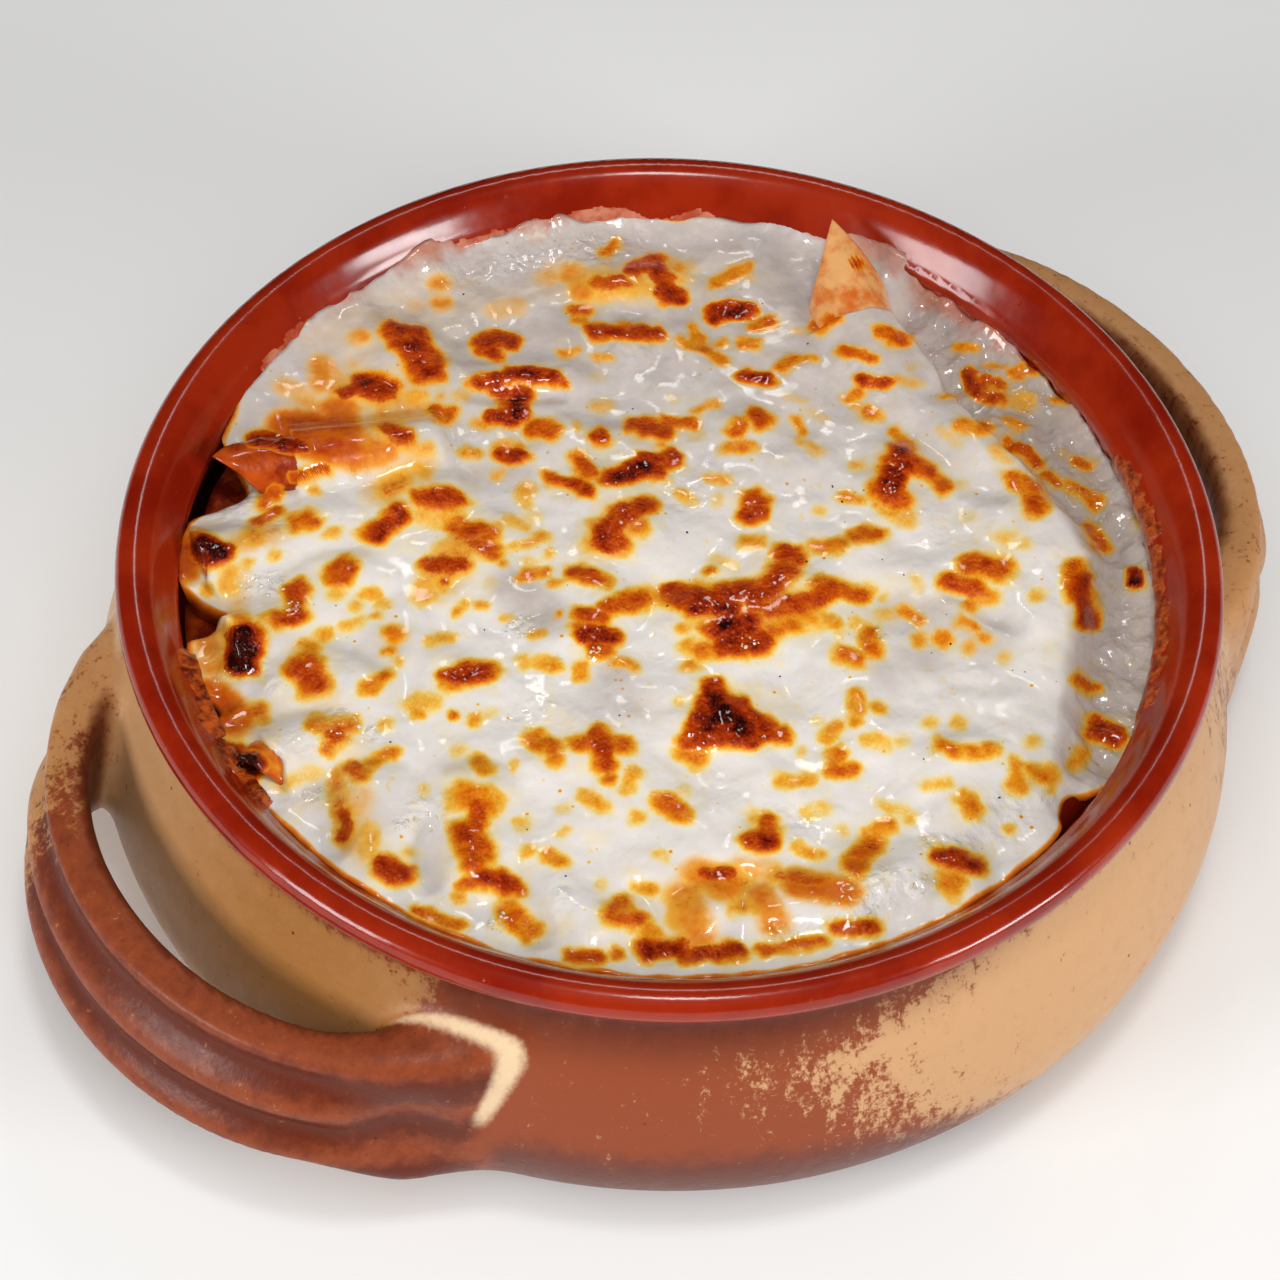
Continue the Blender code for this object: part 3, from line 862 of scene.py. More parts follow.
    def wall_distance(self, places: np.ndarray) -> tuple[np.ndarray, np.ndarray, np.ndarray]:
        """Signed distance to the turned wall, its outward direction, and how far along its section."""
        profile = self.profile()
        start, end = profile[:-1], profile[1:]
        run = end - start
        length = np.hypot(run[:, 0], run[:, 1])
        facet = np.stack([-run[:, 1], run[:, 0]], 1) / length[:, None]
        corner = np.vstack([facet[:1], facet[:-1] + facet[1:], facet[-1:]])
        corner /= np.linalg.norm(corner, axis=1)[:, None]
        radius = np.hypot(places[:, 0], places[:, 1])
        flat = np.stack([radius, places[:, 2]], 1)
        distance = np.empty(len(flat))
        normal = np.empty((len(flat), 2))
        station = np.empty(len(flat))
        for low in range(0, len(flat), self.batch):
            batch = slice(low, low + self.batch)
            part = flat[batch]
            away = part[:, None, :] - start[None]
            share = np.clip((away * run[None]).sum(2) / (length ** 2)[None], 0.0, 1.0)
            gap = away - share[:, :, None] * run[None]
            best = np.argmin((gap ** 2).sum(2), axis=1)
            rows = np.arange(len(part))
            along = share[rows, best][:, None]
            facing = corner[best] * (1.0 - along) + corner[best + 1] * along
            facing /= np.linalg.norm(facing, axis=1)[:, None]
            gap = gap[rows, best]
            side = np.sign((gap * facing).sum(1))
            distance[batch] = np.where(side == 0.0, 1.0, side) * np.hypot(gap[:, 0], gap[:, 1])
            normal[batch] = facing
            station[batch] = best + along[:, 0]
        radial = places[:, :2] / np.maximum(radius, 1e-6)[:, None]
        direction = np.column_stack([radial * normal[:, :1], normal[:, 1]])
        return distance, direction, station

    def strap_distance(self, trees: Sequence[BVHTree], places: np.ndarray) -> tuple[np.ndarray, np.ndarray]:
        """Signed distance to the nearer strap and its outward direction."""
        distance = np.full(len(places), self.far)
        radius = np.hypot(places[:, 0], places[:, 1])
        direction = np.tile([0.0, 0.0, 1.0], (len(places), 1))
        for handle, tree in zip(self.handles, trees):
            close = (places[:, 0] * handle.side > self.strap_from) & (radius > self.strap_radius)
            for index in np.nonzero(close)[0]:
                spot = Vector(places[index] * MM)
                found, facing, _, gap = tree.find_nearest(spot)
                sign = 1.0 if (spot - found).dot(facing) >= 0.0 else -1.0
                distance[index] = sign * gap / MM
                direction[index] = facing
        return distance, direction

    def settle(self, mesh: bpy.types.Mesh, straps: Sequence[bmesh.types.BMesh]) -> None:
        """Bring every vertex onto the true skin, with a fillet where the straps meet the wall.

        Args:
            mesh: The fused mesh.
            straps: The fine skins of the straps.
        """
        trees = [BVHTree.FromBMesh(strap) for strap in straps]
        places = vertex_places(mesh)
        crest = 1 + self.crest_point * self.per_span
        for _ in range(self.settle_steps):
            wall, wall_facing, station = self.wall_distance(places)
            strap, strap_facing = self.strap_distance(trees, places)
            outer = station > crest
            share = np.where(outer, np.clip(0.5 + 0.5 * (wall - strap) / self.fillet, 0.0, 1.0), 0.0)
            distance = wall + (strap - wall) * share - self.fillet * share * (1.0 - share)
            facing = wall_facing * (1.0 - share)[:, None] + strap_facing * share[:, None]
            places -= facing * (distance / np.maximum((facing ** 2).sum(1), 0.15))[:, None]
        places[:, 2] = np.clip(places[:, 2], 0.0, self.crest_height)
        bearing = np.degrees(np.arctan2(places[:, 1], places[:, 0]))
        ring = np.stack([station * 1.2, np.zeros(len(station))], 1)
        wobble = 0.12 * cloud(places, 34.0, 5) + 0.05 * cloud(ring, 9.0, 6)
        below_crest = self.crest_height - places[:, 2]
        wobble *= smooth_step(1.0, 6.0, places[:, 2]) * smooth_step(0.0, 3.0, below_crest)
        places += facing / np.linalg.norm(facing, axis=1)[:, None] * wobble[:, None]
        move_vertices(mesh, places)
        loop = np.stack([self.loop_middle * np.sign(places[:, 0]) - places[:, 0], -places[:, 1]], 1)
        loop /= np.maximum(np.linalg.norm(loop, axis=1), 1e-6)[:, None]
        inward = (facing[:, :2] * loop).sum(1)
        self.mark(mesh, places, bearing, station - crest, share, inward)

    def mark(self, mesh: bpy.types.Mesh, places: np.ndarray, bearing: np.ndarray, past_crest: np.ndarray,
             strap_share: np.ndarray, inward: np.ndarray) -> None:
        """Store where each glaze lies, and where painted shade darkens it.

        Args:
            mesh: The finished mesh.
            places: Its vertices.
            bearing: Their bearings in degrees.
            past_crest: Steps along the section from the lip's crest, outwards.
            strap_share: Share of the strap, between 0 and 1, in the fillet.
            inward: How far the skin faces the middle of the handle's loop, from -1 to 1.
        """
        x, y, z = places.T
        store(mesh, "inside", 1.0 - smooth_step(2.6 * self.per_span, 4.4 * self.per_span, past_crest))
        on_strap = smooth_step(0.15, 0.85, strap_share)
        share = (z - self.strap_middle) / self.strap_height + 0.5
        crest = 0.5 + 0.5 * self.rib_wave(share)
        left = smooth_step(10.0, -10.0, x)
        turned = np.mod(bearing + 360.0, 360.0)
        end = 247.0 + 2.2 * np.maximum(z - 38.0, 0.0) + 0.75 * np.maximum(38.0 - z, 0.0)
        front = smooth_step(206.0, 214.0, turned) * (1.0 - smooth_step(-18.0, 18.0, turned - end))
        # Band under the lip's roll: partly the glaze's own dark band, partly painted shade; it adds rust,
        # deep rust and shade
        under_lip = smooth_step(43.0, 49.0, z)
        back = 0.9 * peak(turned, 62.0, 24.0) + 0.5 * peak(turned, 320.0, 9.0)
        wall_rust = np.maximum(np.maximum(front, back), 0.75 * under_lip)
        # Faces turned into the handle's loop get painted shade; on the right strap their extra rust is
        # painted shade too
        inner_face = smooth_step(0.1, 0.75, inward)
        strap_rust = (left * (1.0 - 0.8 * smooth_step(8.0, 34.0, y))
                      + (1.0 - left) * (0.15 + 0.15 * inner_face))
        store(mesh, "rust", wall_rust * (1.0 - on_strap) + strap_rust * on_strap)
        honey = peak(turned, 196.0, 24.0) + 0.25 * smooth_step(14.0, 2.0, z) + 0.6 * on_strap
        store(mesh, "honey", np.clip(honey, 0.0, 1.0))
        store(mesh, "groove", on_strap * (0.4 + 0.6 * (1.0 - crest)) + 0.3 * under_lip)
        # Painted shade under the lip's overhang, reaching further down the wall on the front
        wall_shade = np.maximum(smooth_step(36.0, 49.0, z) * front, 0.9 * smooth_step(44.5, 49.5, z))
        # Painted shade on the straps' inner faces
        strap_shade = (0.85 + 0.15 * left) * inner_face
        store(mesh, "shade", wall_shade * (1.0 - on_strap) + strap_shade * on_strap)
        joint = (4.0 * strap_share * (1.0 - strap_share)) ** 5
        near_lobe = smooth_step(-34.0, -44.0, y) * left * smooth_step(20.0, 30.0, z)
        far_joint = smooth_step(30.0, 40.0, y) * left * smooth_step(28.0, 36.0, z)
        right_joint = (1.0 - left) * smooth_step(34.0, 44.0, np.abs(y)) * smooth_step(24.0, 34.0, z)
        joints = joint * np.maximum.reduce([near_lobe, 0.7 * far_joint, 0.6 * right_joint])
        lines = 0.24 * crest + 0.16 * smooth_step(0.85, 1.0, share)
        store(mesh, "cream", np.maximum(joints, lines * on_strap * left * smooth_step(30.0, 20.0, y)))
        store(mesh, "plum", smooth_step(32.0, 15.0, z) * (0.25 + 0.75 * front) * (1.0 - on_strap))

    def build(self) -> bpy.types.Object:
        """Make and glaze the dish."""
        straps = [self.strap_mesh(handle, False) for handle in self.handles]
        mesh = self.rough_shape()
        self.settle(mesh, straps)
        for strap in straps:
            strap.free()
        return dress(mesh, "glazed_dish", GlazeFinish().make(), ["dish"])


@dataclass(frozen=True)
class Penne:
    """One pasta tube with slanted, hollow ends."""

    node: str
    end: tuple[float, float, float]
    heading: float
    pitch: float
    roll: float
    length: float
    bare: float
    redness: float
    shade_share: float = 0.0
    finish: PastaFinish = PastaFinish()
    radius: float = 5.6
    wall: float = 1.3
    slant: float = 0.85
    pointed: float = 0.6
    hollow: float = 9.0
    sides: int = 56

    def matrix(self) -> Matrix:
        """Turn and place of the tube, whose visible end points along its own X."""
        turn = (Matrix.Rotation(math.radians(self.heading), 4, "Z")
                @ Matrix.Rotation(math.radians(-self.pitch), 4, "Y")
                @ Matrix.Rotation(math.radians(self.roll - 90.0), 4, "X"))
        return Matrix.Translation(self.end) @ turn

    def section(self) -> list[tuple[float, float]]:
        """Half section along the axis: bottom of the hollow, mouth, outside and closed back."""
        bore = self.radius - self.wall
        mouth = [(-self.hollow, 0.0), (-self.hollow, bore * 0.6), (-self.hollow + 1.0, bore)]
        mouth += [(x, bore) for x in np.linspace(-self.hollow + 2.0, -0.9, 8)]
        lip = [(-0.25, bore + 0.12), (0.0, bore + 0.45),
               (0.0, self.radius - 0.45), (-0.25, self.radius - 0.12)]
        skin = [(x, self.radius) for x in np.linspace(-0.9, -self.length + 0.6, int(self.length * 1.3))]
        return mouth + lip + skin + [(-self.length, self.radius - 0.6), (-self.length, 0.0)]

    def build(self) -> bpy.types.Object:
        """Make and dress the tube."""
        section = [(x, 0.0, radius) for x, radius in self.section()]
        mesh = mesh_from(turned_skin(section, (1.0, 0.0, 0.0), self.sides, 0.01), self.node)
        local = vertex_places(mesh) * MM
        radius = np.hypot(local[:, 1], local[:, 2])
        within = radius - (self.radius - self.wall)
        # hollow marks the inside of the bore, which the finish darkens as painted shade
        hollow = smooth_step(0.6, 0.0, within) * smooth_step(-0.4, -3.0, local[:, 0])
        swell = 1.0 + 0.035 * cloud(local + 7.0 * self.heading, 7.0, 3) + 0.018 * cloud(local, 2.4, 4)
        local[:, 1] *= swell
        local[:, 2] *= swell * 0.97
        around = np.abs(np.arctan2(local[:, 1], local[:, 2]))
        sideways = np.where(around < math.pi / 2.0, np.sin(around), 1.0)
        tip = self.radius * (1.0 - 2.0 * sideways) * np.minimum(radius / self.radius, 1.0)
        cut = local[:, 2] + (tip - local[:, 2]) * self.pointed
        nose = smooth_step(-0.8 * self.length, -0.5 * self.length, local[:, 0])
        local[:, 0] += self.slant * cut * nose + 0.25 * cloud(local, 3.0, 8)
        matrix = np.array(self.matrix())
        places = local @ matrix[:3, :3].T + matrix[:3, 3]
        burnt = browned(places) * (1.0 - hollow)
        upper = smooth_step(-2.0, 1.5, places[:, 2] - self.end[2])
        places[:, 2] += 0.9 * smooth_step(0.75, 1.0, burnt) * upper
        places[:, 2] += 0.25 * smooth_step(0.6, 1.0, burnt) * upper * cloud(places, 0.9, 9)
        move_vertices(mesh, places)
        store(mesh, "browning", burnt * upper)
        store(mesh, "hollow", np.maximum(hollow, self.shade_share))
        material = self.finish.make(f"pasta_{self.node}", self.redness)
        return dress(mesh, f"pasta_{self.node}", material, [self.node])


# Pasta ends that come out of the cheese: middle of the visible end, heading that it points to,
# pitch of its nose, roll of its slanted cut, length, length that no cheese covers, redness, share of
# painted shade
PENNE = (
    Penne("penne_back_right", (60.3, 36.1, 47.8), 70.0, 16.0, 90.0, 30.0, 12.0, 0.45,
          finish=PastaFinish(srgb(224, 166, 104), srgb(206, 102, 28)), radius=7.0, slant=1.0, pointed=0.9),
    Penne("penne_left_back", (-44.5, 54.0, 46.4), 158.0, 5.0, 90.0, 30.0, 8.0, 0.5,
          finish=PastaFinish(srgb(192, 78, 14), srgb(134, 33, 6)), slant=0.9, pointed=0.55),
    Penne("penne_left", (-59.2, 41.6, 45.0), 164.0, 14.0, 60.0, 26.0, 0.0, 0.6, slant=0.3),
    Penne("penne_left_front", (-66.6, 26.5, 45.0), 169.0, 14.0, -80.0, 26.0, 2.5, 0.2),
    Penne("penne_front_left", (-72.6, 3.2, 44.8), 176.0, 14.0, 90.0, 24.0, 2.0, 0.6),
    # This dark tube by the front-right wall gets painted shade through its share
    Penne("penne_front_right", (26.4, -63.2, 40.8), 16.5, 0.0, 120.0, 20.0, 20.0, 0.95, 0.3,
          finish=PastaFinish(srgb(150, 44, 10), srgb(110, 20, 5)), slant=0.0, pointed=0.0),
)


# ---------------------------------------------------------------- cheese

# Browned places, laid out on a plane at their own height over the dish, as the view point sees them:
# u and v of one end, u and v of the other end where the place is long, half width, darkness
LAYOUT_HEIGHT = 49.0
VIEW_POINT = (-4.0, -335.5, 452.6)
BROWNED: tuple[tuple[float, ...], ...] = (
    # back
    (-47, 46.5, -43, 45.5, 2.2, .8), (-43.5, 44, -40.5, 38, 4, .8), (-53, 32, -50, 33, 1.6, .8),
    (-49.5, 34, -47, 33, 3.3, .85), (-46, 25, -43.5, 23.5, 2.2, .7), (-38.5, 29, -36.5, 28.5, 1.8, .55),
    (-41.7, 32, 1.8, .35), (-37.8, 32.3, 1.2, .2), (-34.8, 32.5, 1.2, .22), (-32, 26.7, -30.5, 26.7, 1, .3),
    (-41.3, 21.2, -39.3, 21.2, 1.1, .35), (-33, 20.8, -31.5, 20.5, 1.1, .35),
    (-22.3, 26, -20.3, 26, 2.3, .6), (-32, 35.3, -27, 37.7, 1.5, .8), (-27, 38, -20, 37.5, 1.8, .9),
    (-20, 36.8, -18.7, 36.7, 1, .6), (-25, 33, -25.5, 29, 2.3, .95), (-29, 34.5, -26, 32, 1.5, .75),
    (-29.3, 28.3, -25, 28.5, 1.2, .85), (-32, 45, -27.5, 44.8, 1.9, .75), (-31.3, 43, -30, 42, 1.8, .75),
    (-19, 42.8, -17, 43.7, .9, .35), (-13, 42.5, -11, 42.6, .9, .28), (-13, 38, 1, .12),
    (-13, 31.5, -11.3, 32, .9, .22), (-12, 25, 2.1, .65), (-15.7, 27, .9, .25),
    (-17.5, 52.7, -15.5, 52.6, 1.2, .5), (-17, 51, -15.5, 50.5, .9, .4), (-13.5, 48, -3.8, 48.2, 1.9, .75),
    (-13.5, 59, -10, 59.5, 2.2, .6), (-8, 62.5, -5, 64.5, 2, .7), (-4.5, 64.5, -3, 60, 2.2, .75),
    (-2.8, 58, -1, 57, 2.4, .85), (-14, 58, -2, 62, 5, .3), (-12.5, 66.5, -11, 68.5, 1.1, .45),
    (6.2, 53.5, 10.3, 54.3, 2.3, .95), (6, 60.5, 10.5, 64.5, 1.6, .4), (11.5, 62, .8, .2),
    (12, 50.8, 15, 52.3, 1.1, .5), (10.7, 47, 12.5, 46.8, 1.2, .38), (0, 46.8, 4, 45.3, .9, .35),
    (4, 45.3, 7.3, 43, 1, .45), (2.3, 50, 4, 45.5, 1, .35), (5, 46, 7.5, 46.8, .9, .3),
    (16.8, 42, 19, 43.6, 1.3, .45), (19, 44, 22, 44.2, .9, .35), (11.3, 39.8, 14.2, 39.3, 1.4, .9),
    (19.5, 50.3, .8, .2), (22.7, 51.5, 25, 53.5, 1.5, .55), (33.6, 51, 36, 49.3, 1.8, .6),
    (27, 46.3, 31.3, 45, 1.2, .55), (30.3, 39.8, 33.2, 39.5, 1.3, .75), (35.2, 40.5, 38.2, 40.3, 1.1, .25),
    (38.5, 43.5, 1, .15), (27.9, 36, 29, 37.2, 1.3, .4), (31.1, 32.9, 1.9, .42), (29, 34, 1, .3),
    (46.3, 31, 49, 30.7, 1.9, .4), (42.5, 37.2, 44.5, 37.8, .6, .3), (45.5, 47.9, 47.8, 47.7, 1, .35),
    (47.3, 42.5, 48.5, 38, 1.2, .8), (48, 39, 51.5, 37, 1.6, .6), (50, 41, 52, 40, 1.2, .55),
    (55.5, 37.5, 56.5, 37, 1.6, .3), (55, 43, 57.5, 45, 1.5, .45), (52, 54.7, 1.5, .35),
    (50.5, 44.5, 53, 44, .8, .3), (35.5, 28.5, 37.5, 25.5, 1.3, .4), (51.2, 26.5, 52.5, 24.6, .8, .25),
    (42.5, 30, 44.5, 27.5, .7, .15), (19, 30.8, 20.5, 28, .9, .38), (20.3, 26, 22.3, 24.3, .8, .25),
    (21.5, 32.5, 23.5, 31.3, .5, .15), (18, 36, 20.5, 35, .5, .15), (3.2, 31.5, 6.5, 33.3, .7, .3),
    (-.5, 34, .7, .12), (13, 31.5, 14, 30, 1.8, .6), (10.5, 29.5, 9.3, 27.3, 1.3, .55),
    (8.5, 24, 12, 24.5, 1.1, .4), (-6.3, 28, -2, 27, 2, .7), (-1.5, 29, 2.5, 28.8, 1, .55),
    (3, 26.5, 1.5, .12), (-2.4, 24, .9, .35),
    # middle
    (6, -8, 20, -9, 5, .32), (-58, 4.2, -56.3, 5.2, 1.8, .55), (-53, 2.6, -52, 2.9, .8, .25),
    (-46, 2.6, -42.5, 7.3, 2.2, .8), (-51.3, -6, -49.8, -4.2, 2.2, .65), (-51, -9, 1.2, .25),
    (-57, -9, -56.8, -11.5, 2, .65), (-59, -15, -56.5, -13.8, 1.7, .7), (-60.8, -15, 1, .3),
    (-44.5, 12, -43.2, 14.3, 1.7, .45), (-40.3, 16.8, -38.8, 15.8, .9, .3), (-38, 11, -34, 10.3, 2.6, .75),
    (-38.5, 7, -33, 6.5, 2.2, .25), (-33, 5, -29, 4, 2.6, .55), (-31, 4.5, 1.7, .7),
    (-31, 2.5, -28, .5, 1.8, .6), (-36.5, -3, -32, -2.8, 1.6, .75), (-31.5, 3, -35, -4, 3.6, .4),
    (-34.5, -6.3, 1.3, .6), (-37.2, -6.5, -37.6, -9.5, 1.2, .35), (-26, -1.5, .5, .4), (-18.5, .5, .5, .25),
    (-16.8, -11.5, .4, .35), (-19.6, -15, .6, .35), (-24.3, -12.8, .5, .2), (-31.3, -10.6, .7, .28),
    (-32.2, -12, .4, .4), (-28.7, -10.3, .4, .35), (-27.8, -10.2, .4, .35),
    (-23.3, 11.3, -23, 13, 1.3, .28), (-24.8, 6.7, -22.7, 5.8, .8, .27), (-22, 8, 1.6, .1),
    (-23, 2, -20, 3.7, .8, .3), (-24.2, 1.8, .8, .25), (-23, -4.7, -19.3, -3, .8, .45),
    (-21.5, -1.8, 1.2, .15), (-27.3, -6, 1, .1), (-35.5, -17.8, -32.8, -16.8, .8, .27),
    (-28, 21.5, -24.5, 21.8, 1.6, .35), (-27, 20.2, -24.5, 20.6, 1.6, .85), (-27.7, 16.2, .7, .3),
    (-19.3, 16.3, -16.5, 15, 1.2, .65), (-16.5, 15, -13.8, 13.8, 1.5, .75),
    (-15, 20, -13.3, 17.6, 1.5, .55), (-9, 17, -4, 19, 2.3, 1), (-4, 20.5, -.5, 21.3, 1.9, .8),
    (-8.5, 9.5, -4, 11.5, 1.9, .7), (-10.5, 4.5, -9, 3.5, 3.2, .8), (-9.5, 5.5, -7, 8.5, 2.2, .75),
    (-5.5, 7, 2.2, .45), (-14.5, -3, -11.5, -4.3, 1.7, .65), (-9.8, -5, 1, .4), (-17, -5.3, .7, .35),
    (-9, -9.5, -4.5, -8, 2, .6), (-5, -7, 0, -7, 1.6, .35), (-13, -11.5, -10.5, -11.8, 1.8, .65),
    (-12, -15.5, -9, -15.5, 2, .9), (-10.5, -18, 2.3, .65), (-13.5, -13.5, 1, .5),
    (5.7, 17.6, 8, 17.3, 1, .3), (1.2, 13.8, 3, 13, .7, .25), (7.2, 12.8, .8, .15), (-1, 16.5, .6, .15),
    (12.3, 10.6, 12.7, 13.6, 2.2, .65), (12, 10.5, 13.5, 11, 1.6, .8), (11.7, 5, 13.7, 5, 1, .3),
    (7, 1.2, 9.5, 0, .8, .14), (6.4, -1.4, .4, .45), (17.8, 2.6, 19.5, 2.2, 2, .7),
    (18, 0, 15.5, -4, 2.3, .7), (1, -6.5, 8, -7, 2.6, .75), (5, -8.5, 9, -8.5, 2.6, .9),
    (9, -6, 15, -5, 2.4, .8), (8, -13, 12, -12, 3, .95), (13, -8, 20, -8, 2.6, .6),
    (19, -7, 21.5, -6.5, 2, .7), (9, -16, 14, -15, 2.6, .85), (15, -13, 19, -11.5, 2.2, .45),
    (5.5, -17, 11, -17, 1.8, .45), (22.8, -3.2, 29.3, -5, 1.6, .55), (23, -6, 25, -4.5, 1.8, .7),
    (23, 4.3, 26.3, 5.2, 1.5, .42), (29.3, 6.8, 31.5, 7.3, 1.6, .5), (32.6, 7.5, 1.2, .3),
    (26.8, 15, 29.3, 14.3, .9, .35), (23.2, 12, .8, .15), (29, 21.7, .9, .25), (24.8, -10.6, 1.1, .35),
    (28.5, -10.3, 1.1, .2), (26.5, -13, 1, .12), (2.5, -13, .9, .28), (3.3, -16.5, 1.3, .35),
    (3.5, -20.3, 1.2, .4), (35.5, 23.8, 36.5, 22, 2.6, .85), (35, 20, 33.8, 16.5, 2.8, .9),
    (35.7, 14.8, 2.2, .6), (34, 12.5, 36.5, 11.5, 1.8, .25), (36.8, 26.5, 1.6, .45),
    (38, 22.5, 40, 21, 1.8, .7), (40, 21, 43, 17.8, 1.6, .5), (45.5, 18.5, 1.2, .12),
    (32, 13.3, 34, 11.5, .3, .3), (54, 19.8, 56.5, 17.5, 2, .5), (56.5, 18, 56.8, 14.5, 2.1, .55),
    (47.5, 2.2, 51, 1.8, 2.7, .6), (49, 2.3, 1.6, .75), (43.5, -1.5, 47, -2.5, 1.8, .65),
    (48.8, -4, 2, .38), (46.5, -6.3, 1.4, .4), (52.3, 8, 2, .18), (55, 7, .8, .2), (46.3, 11.7, 1.5, .08),
    (56.6, -3.4, 1.2, .22), (36, -7.8, 38.3, -9.3, 1, .4), (32.5, -9, 35, -8.3, 1.1, .2),
    (30.6, -3.4, .9, .22), (33, -4.8, .8, .15), (37.8, -1.5, .6, .15), (38.3, -3, .6, .15),
    (45, -9.3, 46.8, -10, .9, .45), (48.5, -12.5, .9, .4), (41.8, -12.6, 1.6, .45), (38.8, -13.3, 1.4, .35),
    (45.8, -14, 1, .3), (62.8, 3, 62.5, -3, 1.7, .55), (63.5, 0, 64, -8, 1.4, .8),
    (53.2, 28.3, 57.7, 24.3, .8, .6), (59, 21.5, 60.7, 19.7, .8, .5), (63, 19, 66.5, 16, 1.2, .45),
    (65.3, 11.5, 67, 7.5, 1, .5), (64, 25, 65.5, 24, 1, .5), (61.5, 26, .9, .2),
    (53.3, 32.5, 55, 31, 1, .35), (62, 37.3, 1.5, .4), (51.5, 44.5, 1.2, .3), (57.7, 44, 1.6, .45),
    (55.3, 42.5, 1.3, .35), (73.5, 12.5, 1.2, .45), (72, 1.6, 72.3, 0, .8, 1.25),
    # left
    (-64.8, -15.3, 1.3, .5), (-54, -24, -52.8, -27, 3, .7), (-53.8, -20.3, 2, .35),
    (-51.6, -17.5, 1.3, .35), (-63, -33.5, -60.7, -33, 2, .45), (-63, -36.8, 1.2, .3),
    (-44.3, -27.3, -42, -24.7, 1.1, .42), (-41.3, -16.3, 1.8, .45), (-41.8, -20, .7, .45),
    (-40.2, -22, .8, .3), (-49, -15.8, -46.8, -14.5, 1, .22), (-47.6, -12, .6, .25),
    (-44.3, -13.5, .3, .35), (-43.5, -11, .9, .22), (-46.8, -9.2, -44.8, -9.3, .8, .3),
    (-51.5, -34.5, -46, -34.3, 1.5, .4), (-48.5, -36.3, 2.2, .65), (-49, -38.5, 1.3, .5),
    (-37.5, -30, -35.3, -29, 1.7, .22), (-37, -31.7, .6, .35), (-41, -33.8, .8, .2),
    (-43, -40.8, -40, -39.3, 1, .38), (-45.5, -42.3, -44.3, -43.2, 1.2, .5),
    (-47.5, -43.5, -47, -48, 1.1, .38), (-46.8, -48, -46, -52, .9, .42), (-45.7, -53.5, .8, .6),
    (-45.8, -50.5, -45.7, -54.5, .5, .7), (-55, -45, -51, -43.5, 1.5, .15), (-69, -29.8, 1.5, .6),
    (-61.7, -17.3, .5, .4), (-63.5, 7.8, -62, 11, 1.3, .55), (-59.3, 14, -55, 16, 1, .65),
    (-56, 11.3, .5, .35), (-64.5, 4, -61.5, 6.3, .5, .6), (-64.5, 1.5, 1.5, .45), (-61, -2.5, .9, .22),
    (-65, -4.3, .4, .35), (-68, -6, -67, -9.5, 1.2, .32), (-70.5, -9.8, .8, .3),
    (-66.5, 21.3, -59, 20, 1.5, .95),
    # front
    (-32.3, -24, -27.5, -23.3, 2, .85), (-32, -26, 1.5, .5), (-26.3, -22.8, 1.5, .5),
    (-31.5, -31.3, .6, .55), (-28, -32.3, .9, .35), (-26, -31, .6, .15), (-30, -38, 1, .12),
    (-27.2, -39.7, -26, -41.5, 1.1, .38), (-28, -46.5, -26, -47, 3.2, .45),
    (-27, -48, -26.5, -51, 1.8, .65), (-27.5, -52.5, -26.2, -57.5, 2.8, .6), (-28, -53.5, 1.4, .8),
    (-21.3, -20.9, 1.1, .22), (-18.8, -21, -16.8, -21.5, .9, .33), (-12.5, -23, -12.3, -21.3, .9, .35),
    (-7, -20, -5, -21, .9, .35), (-18.8, -35.5, -16.5, -36.8, 1.7, .48), (-15.8, -39, 1.3, .4),
    (-12.3, -35.7, -6, -35.7, 1.4, .55), (-9.8, -34, -8.3, -39, 1.7, .7), (-8, -42, 1.1, .5),
    (-5, -36.3, 1, .4), (-8.5, -37, 1.8, .75), (-11, -45.5, -8.7, -46.8, 1, .33),
    (-4.3, -40.8, -4.8, -43.5, .9, .28), (-3.3, -48.3, 1.2, .25), (-14, -47.5, .8, .12),
    (-20, -50.5, .8, .2), (-21.8, -40.5, .4, .2), (7.5, -24.5, 8, -26, 1.9, .85),
    (8, -27, 10, -30, 3.2, 1.05), (7, -31, 12.5, -31.5, 2.8, 1.05), (4.8, -33.6, 13, -34, 1.5, .8),
    (9, -26, 15.5, -31.5, 1.6, .8), (14.5, -32.3, 17.3, -32.6, 1.5, .7), (4, -34.5, 1.5, .7),
    (6, -27, 5, -32, 1.5, .8), (3, -37, 5.3, -37.8, 1.4, .42), (.3, -46, 2.3, -47.3, 1.9, .48),
    (3.3, -43.5, 1, .12), (16, -48.5, 15.8, -51, 1.6, .6), (13.3, -51.7, 15.8, -52, 1.4, .75),
    (14, -48, 1.5, .2), (18, -41, 21.5, -40.8, 1.3, .33), (25.3, -38.7, 28, -38.2, 1.2, .5),
    (26, -35.5, 25.5, -38, 1.5, .45), (24.3, -32.3, 26, -30.3, 1, .35), (26.5, -16.5, 29, -17.3, 1.7, .45),
    (30.8, -12.3, 31.3, -16, 1.6, .5), (28.7, -24.5, 29, -27, 1, .38), (32, -26.5, 1.2, .35),
    (28.3, -29, .9, .33), (2, -27.3, .7, .18), (21.5, -46.3, 23.8, -45.3, .8, .15), (20.7, -35.5, .5, .18),
    (23, -29.5, .6, .15), (26.6, -49.3, .6, .15), (30.5, -32.8, 33, -33.2, 1, .2), (35.5, -32.8, 1, .15),
    (39.7, -28.8, .9, .2), (43.7, -28.7, .9, .25), (41.3, -33, 43, -34, 1.3, .42),
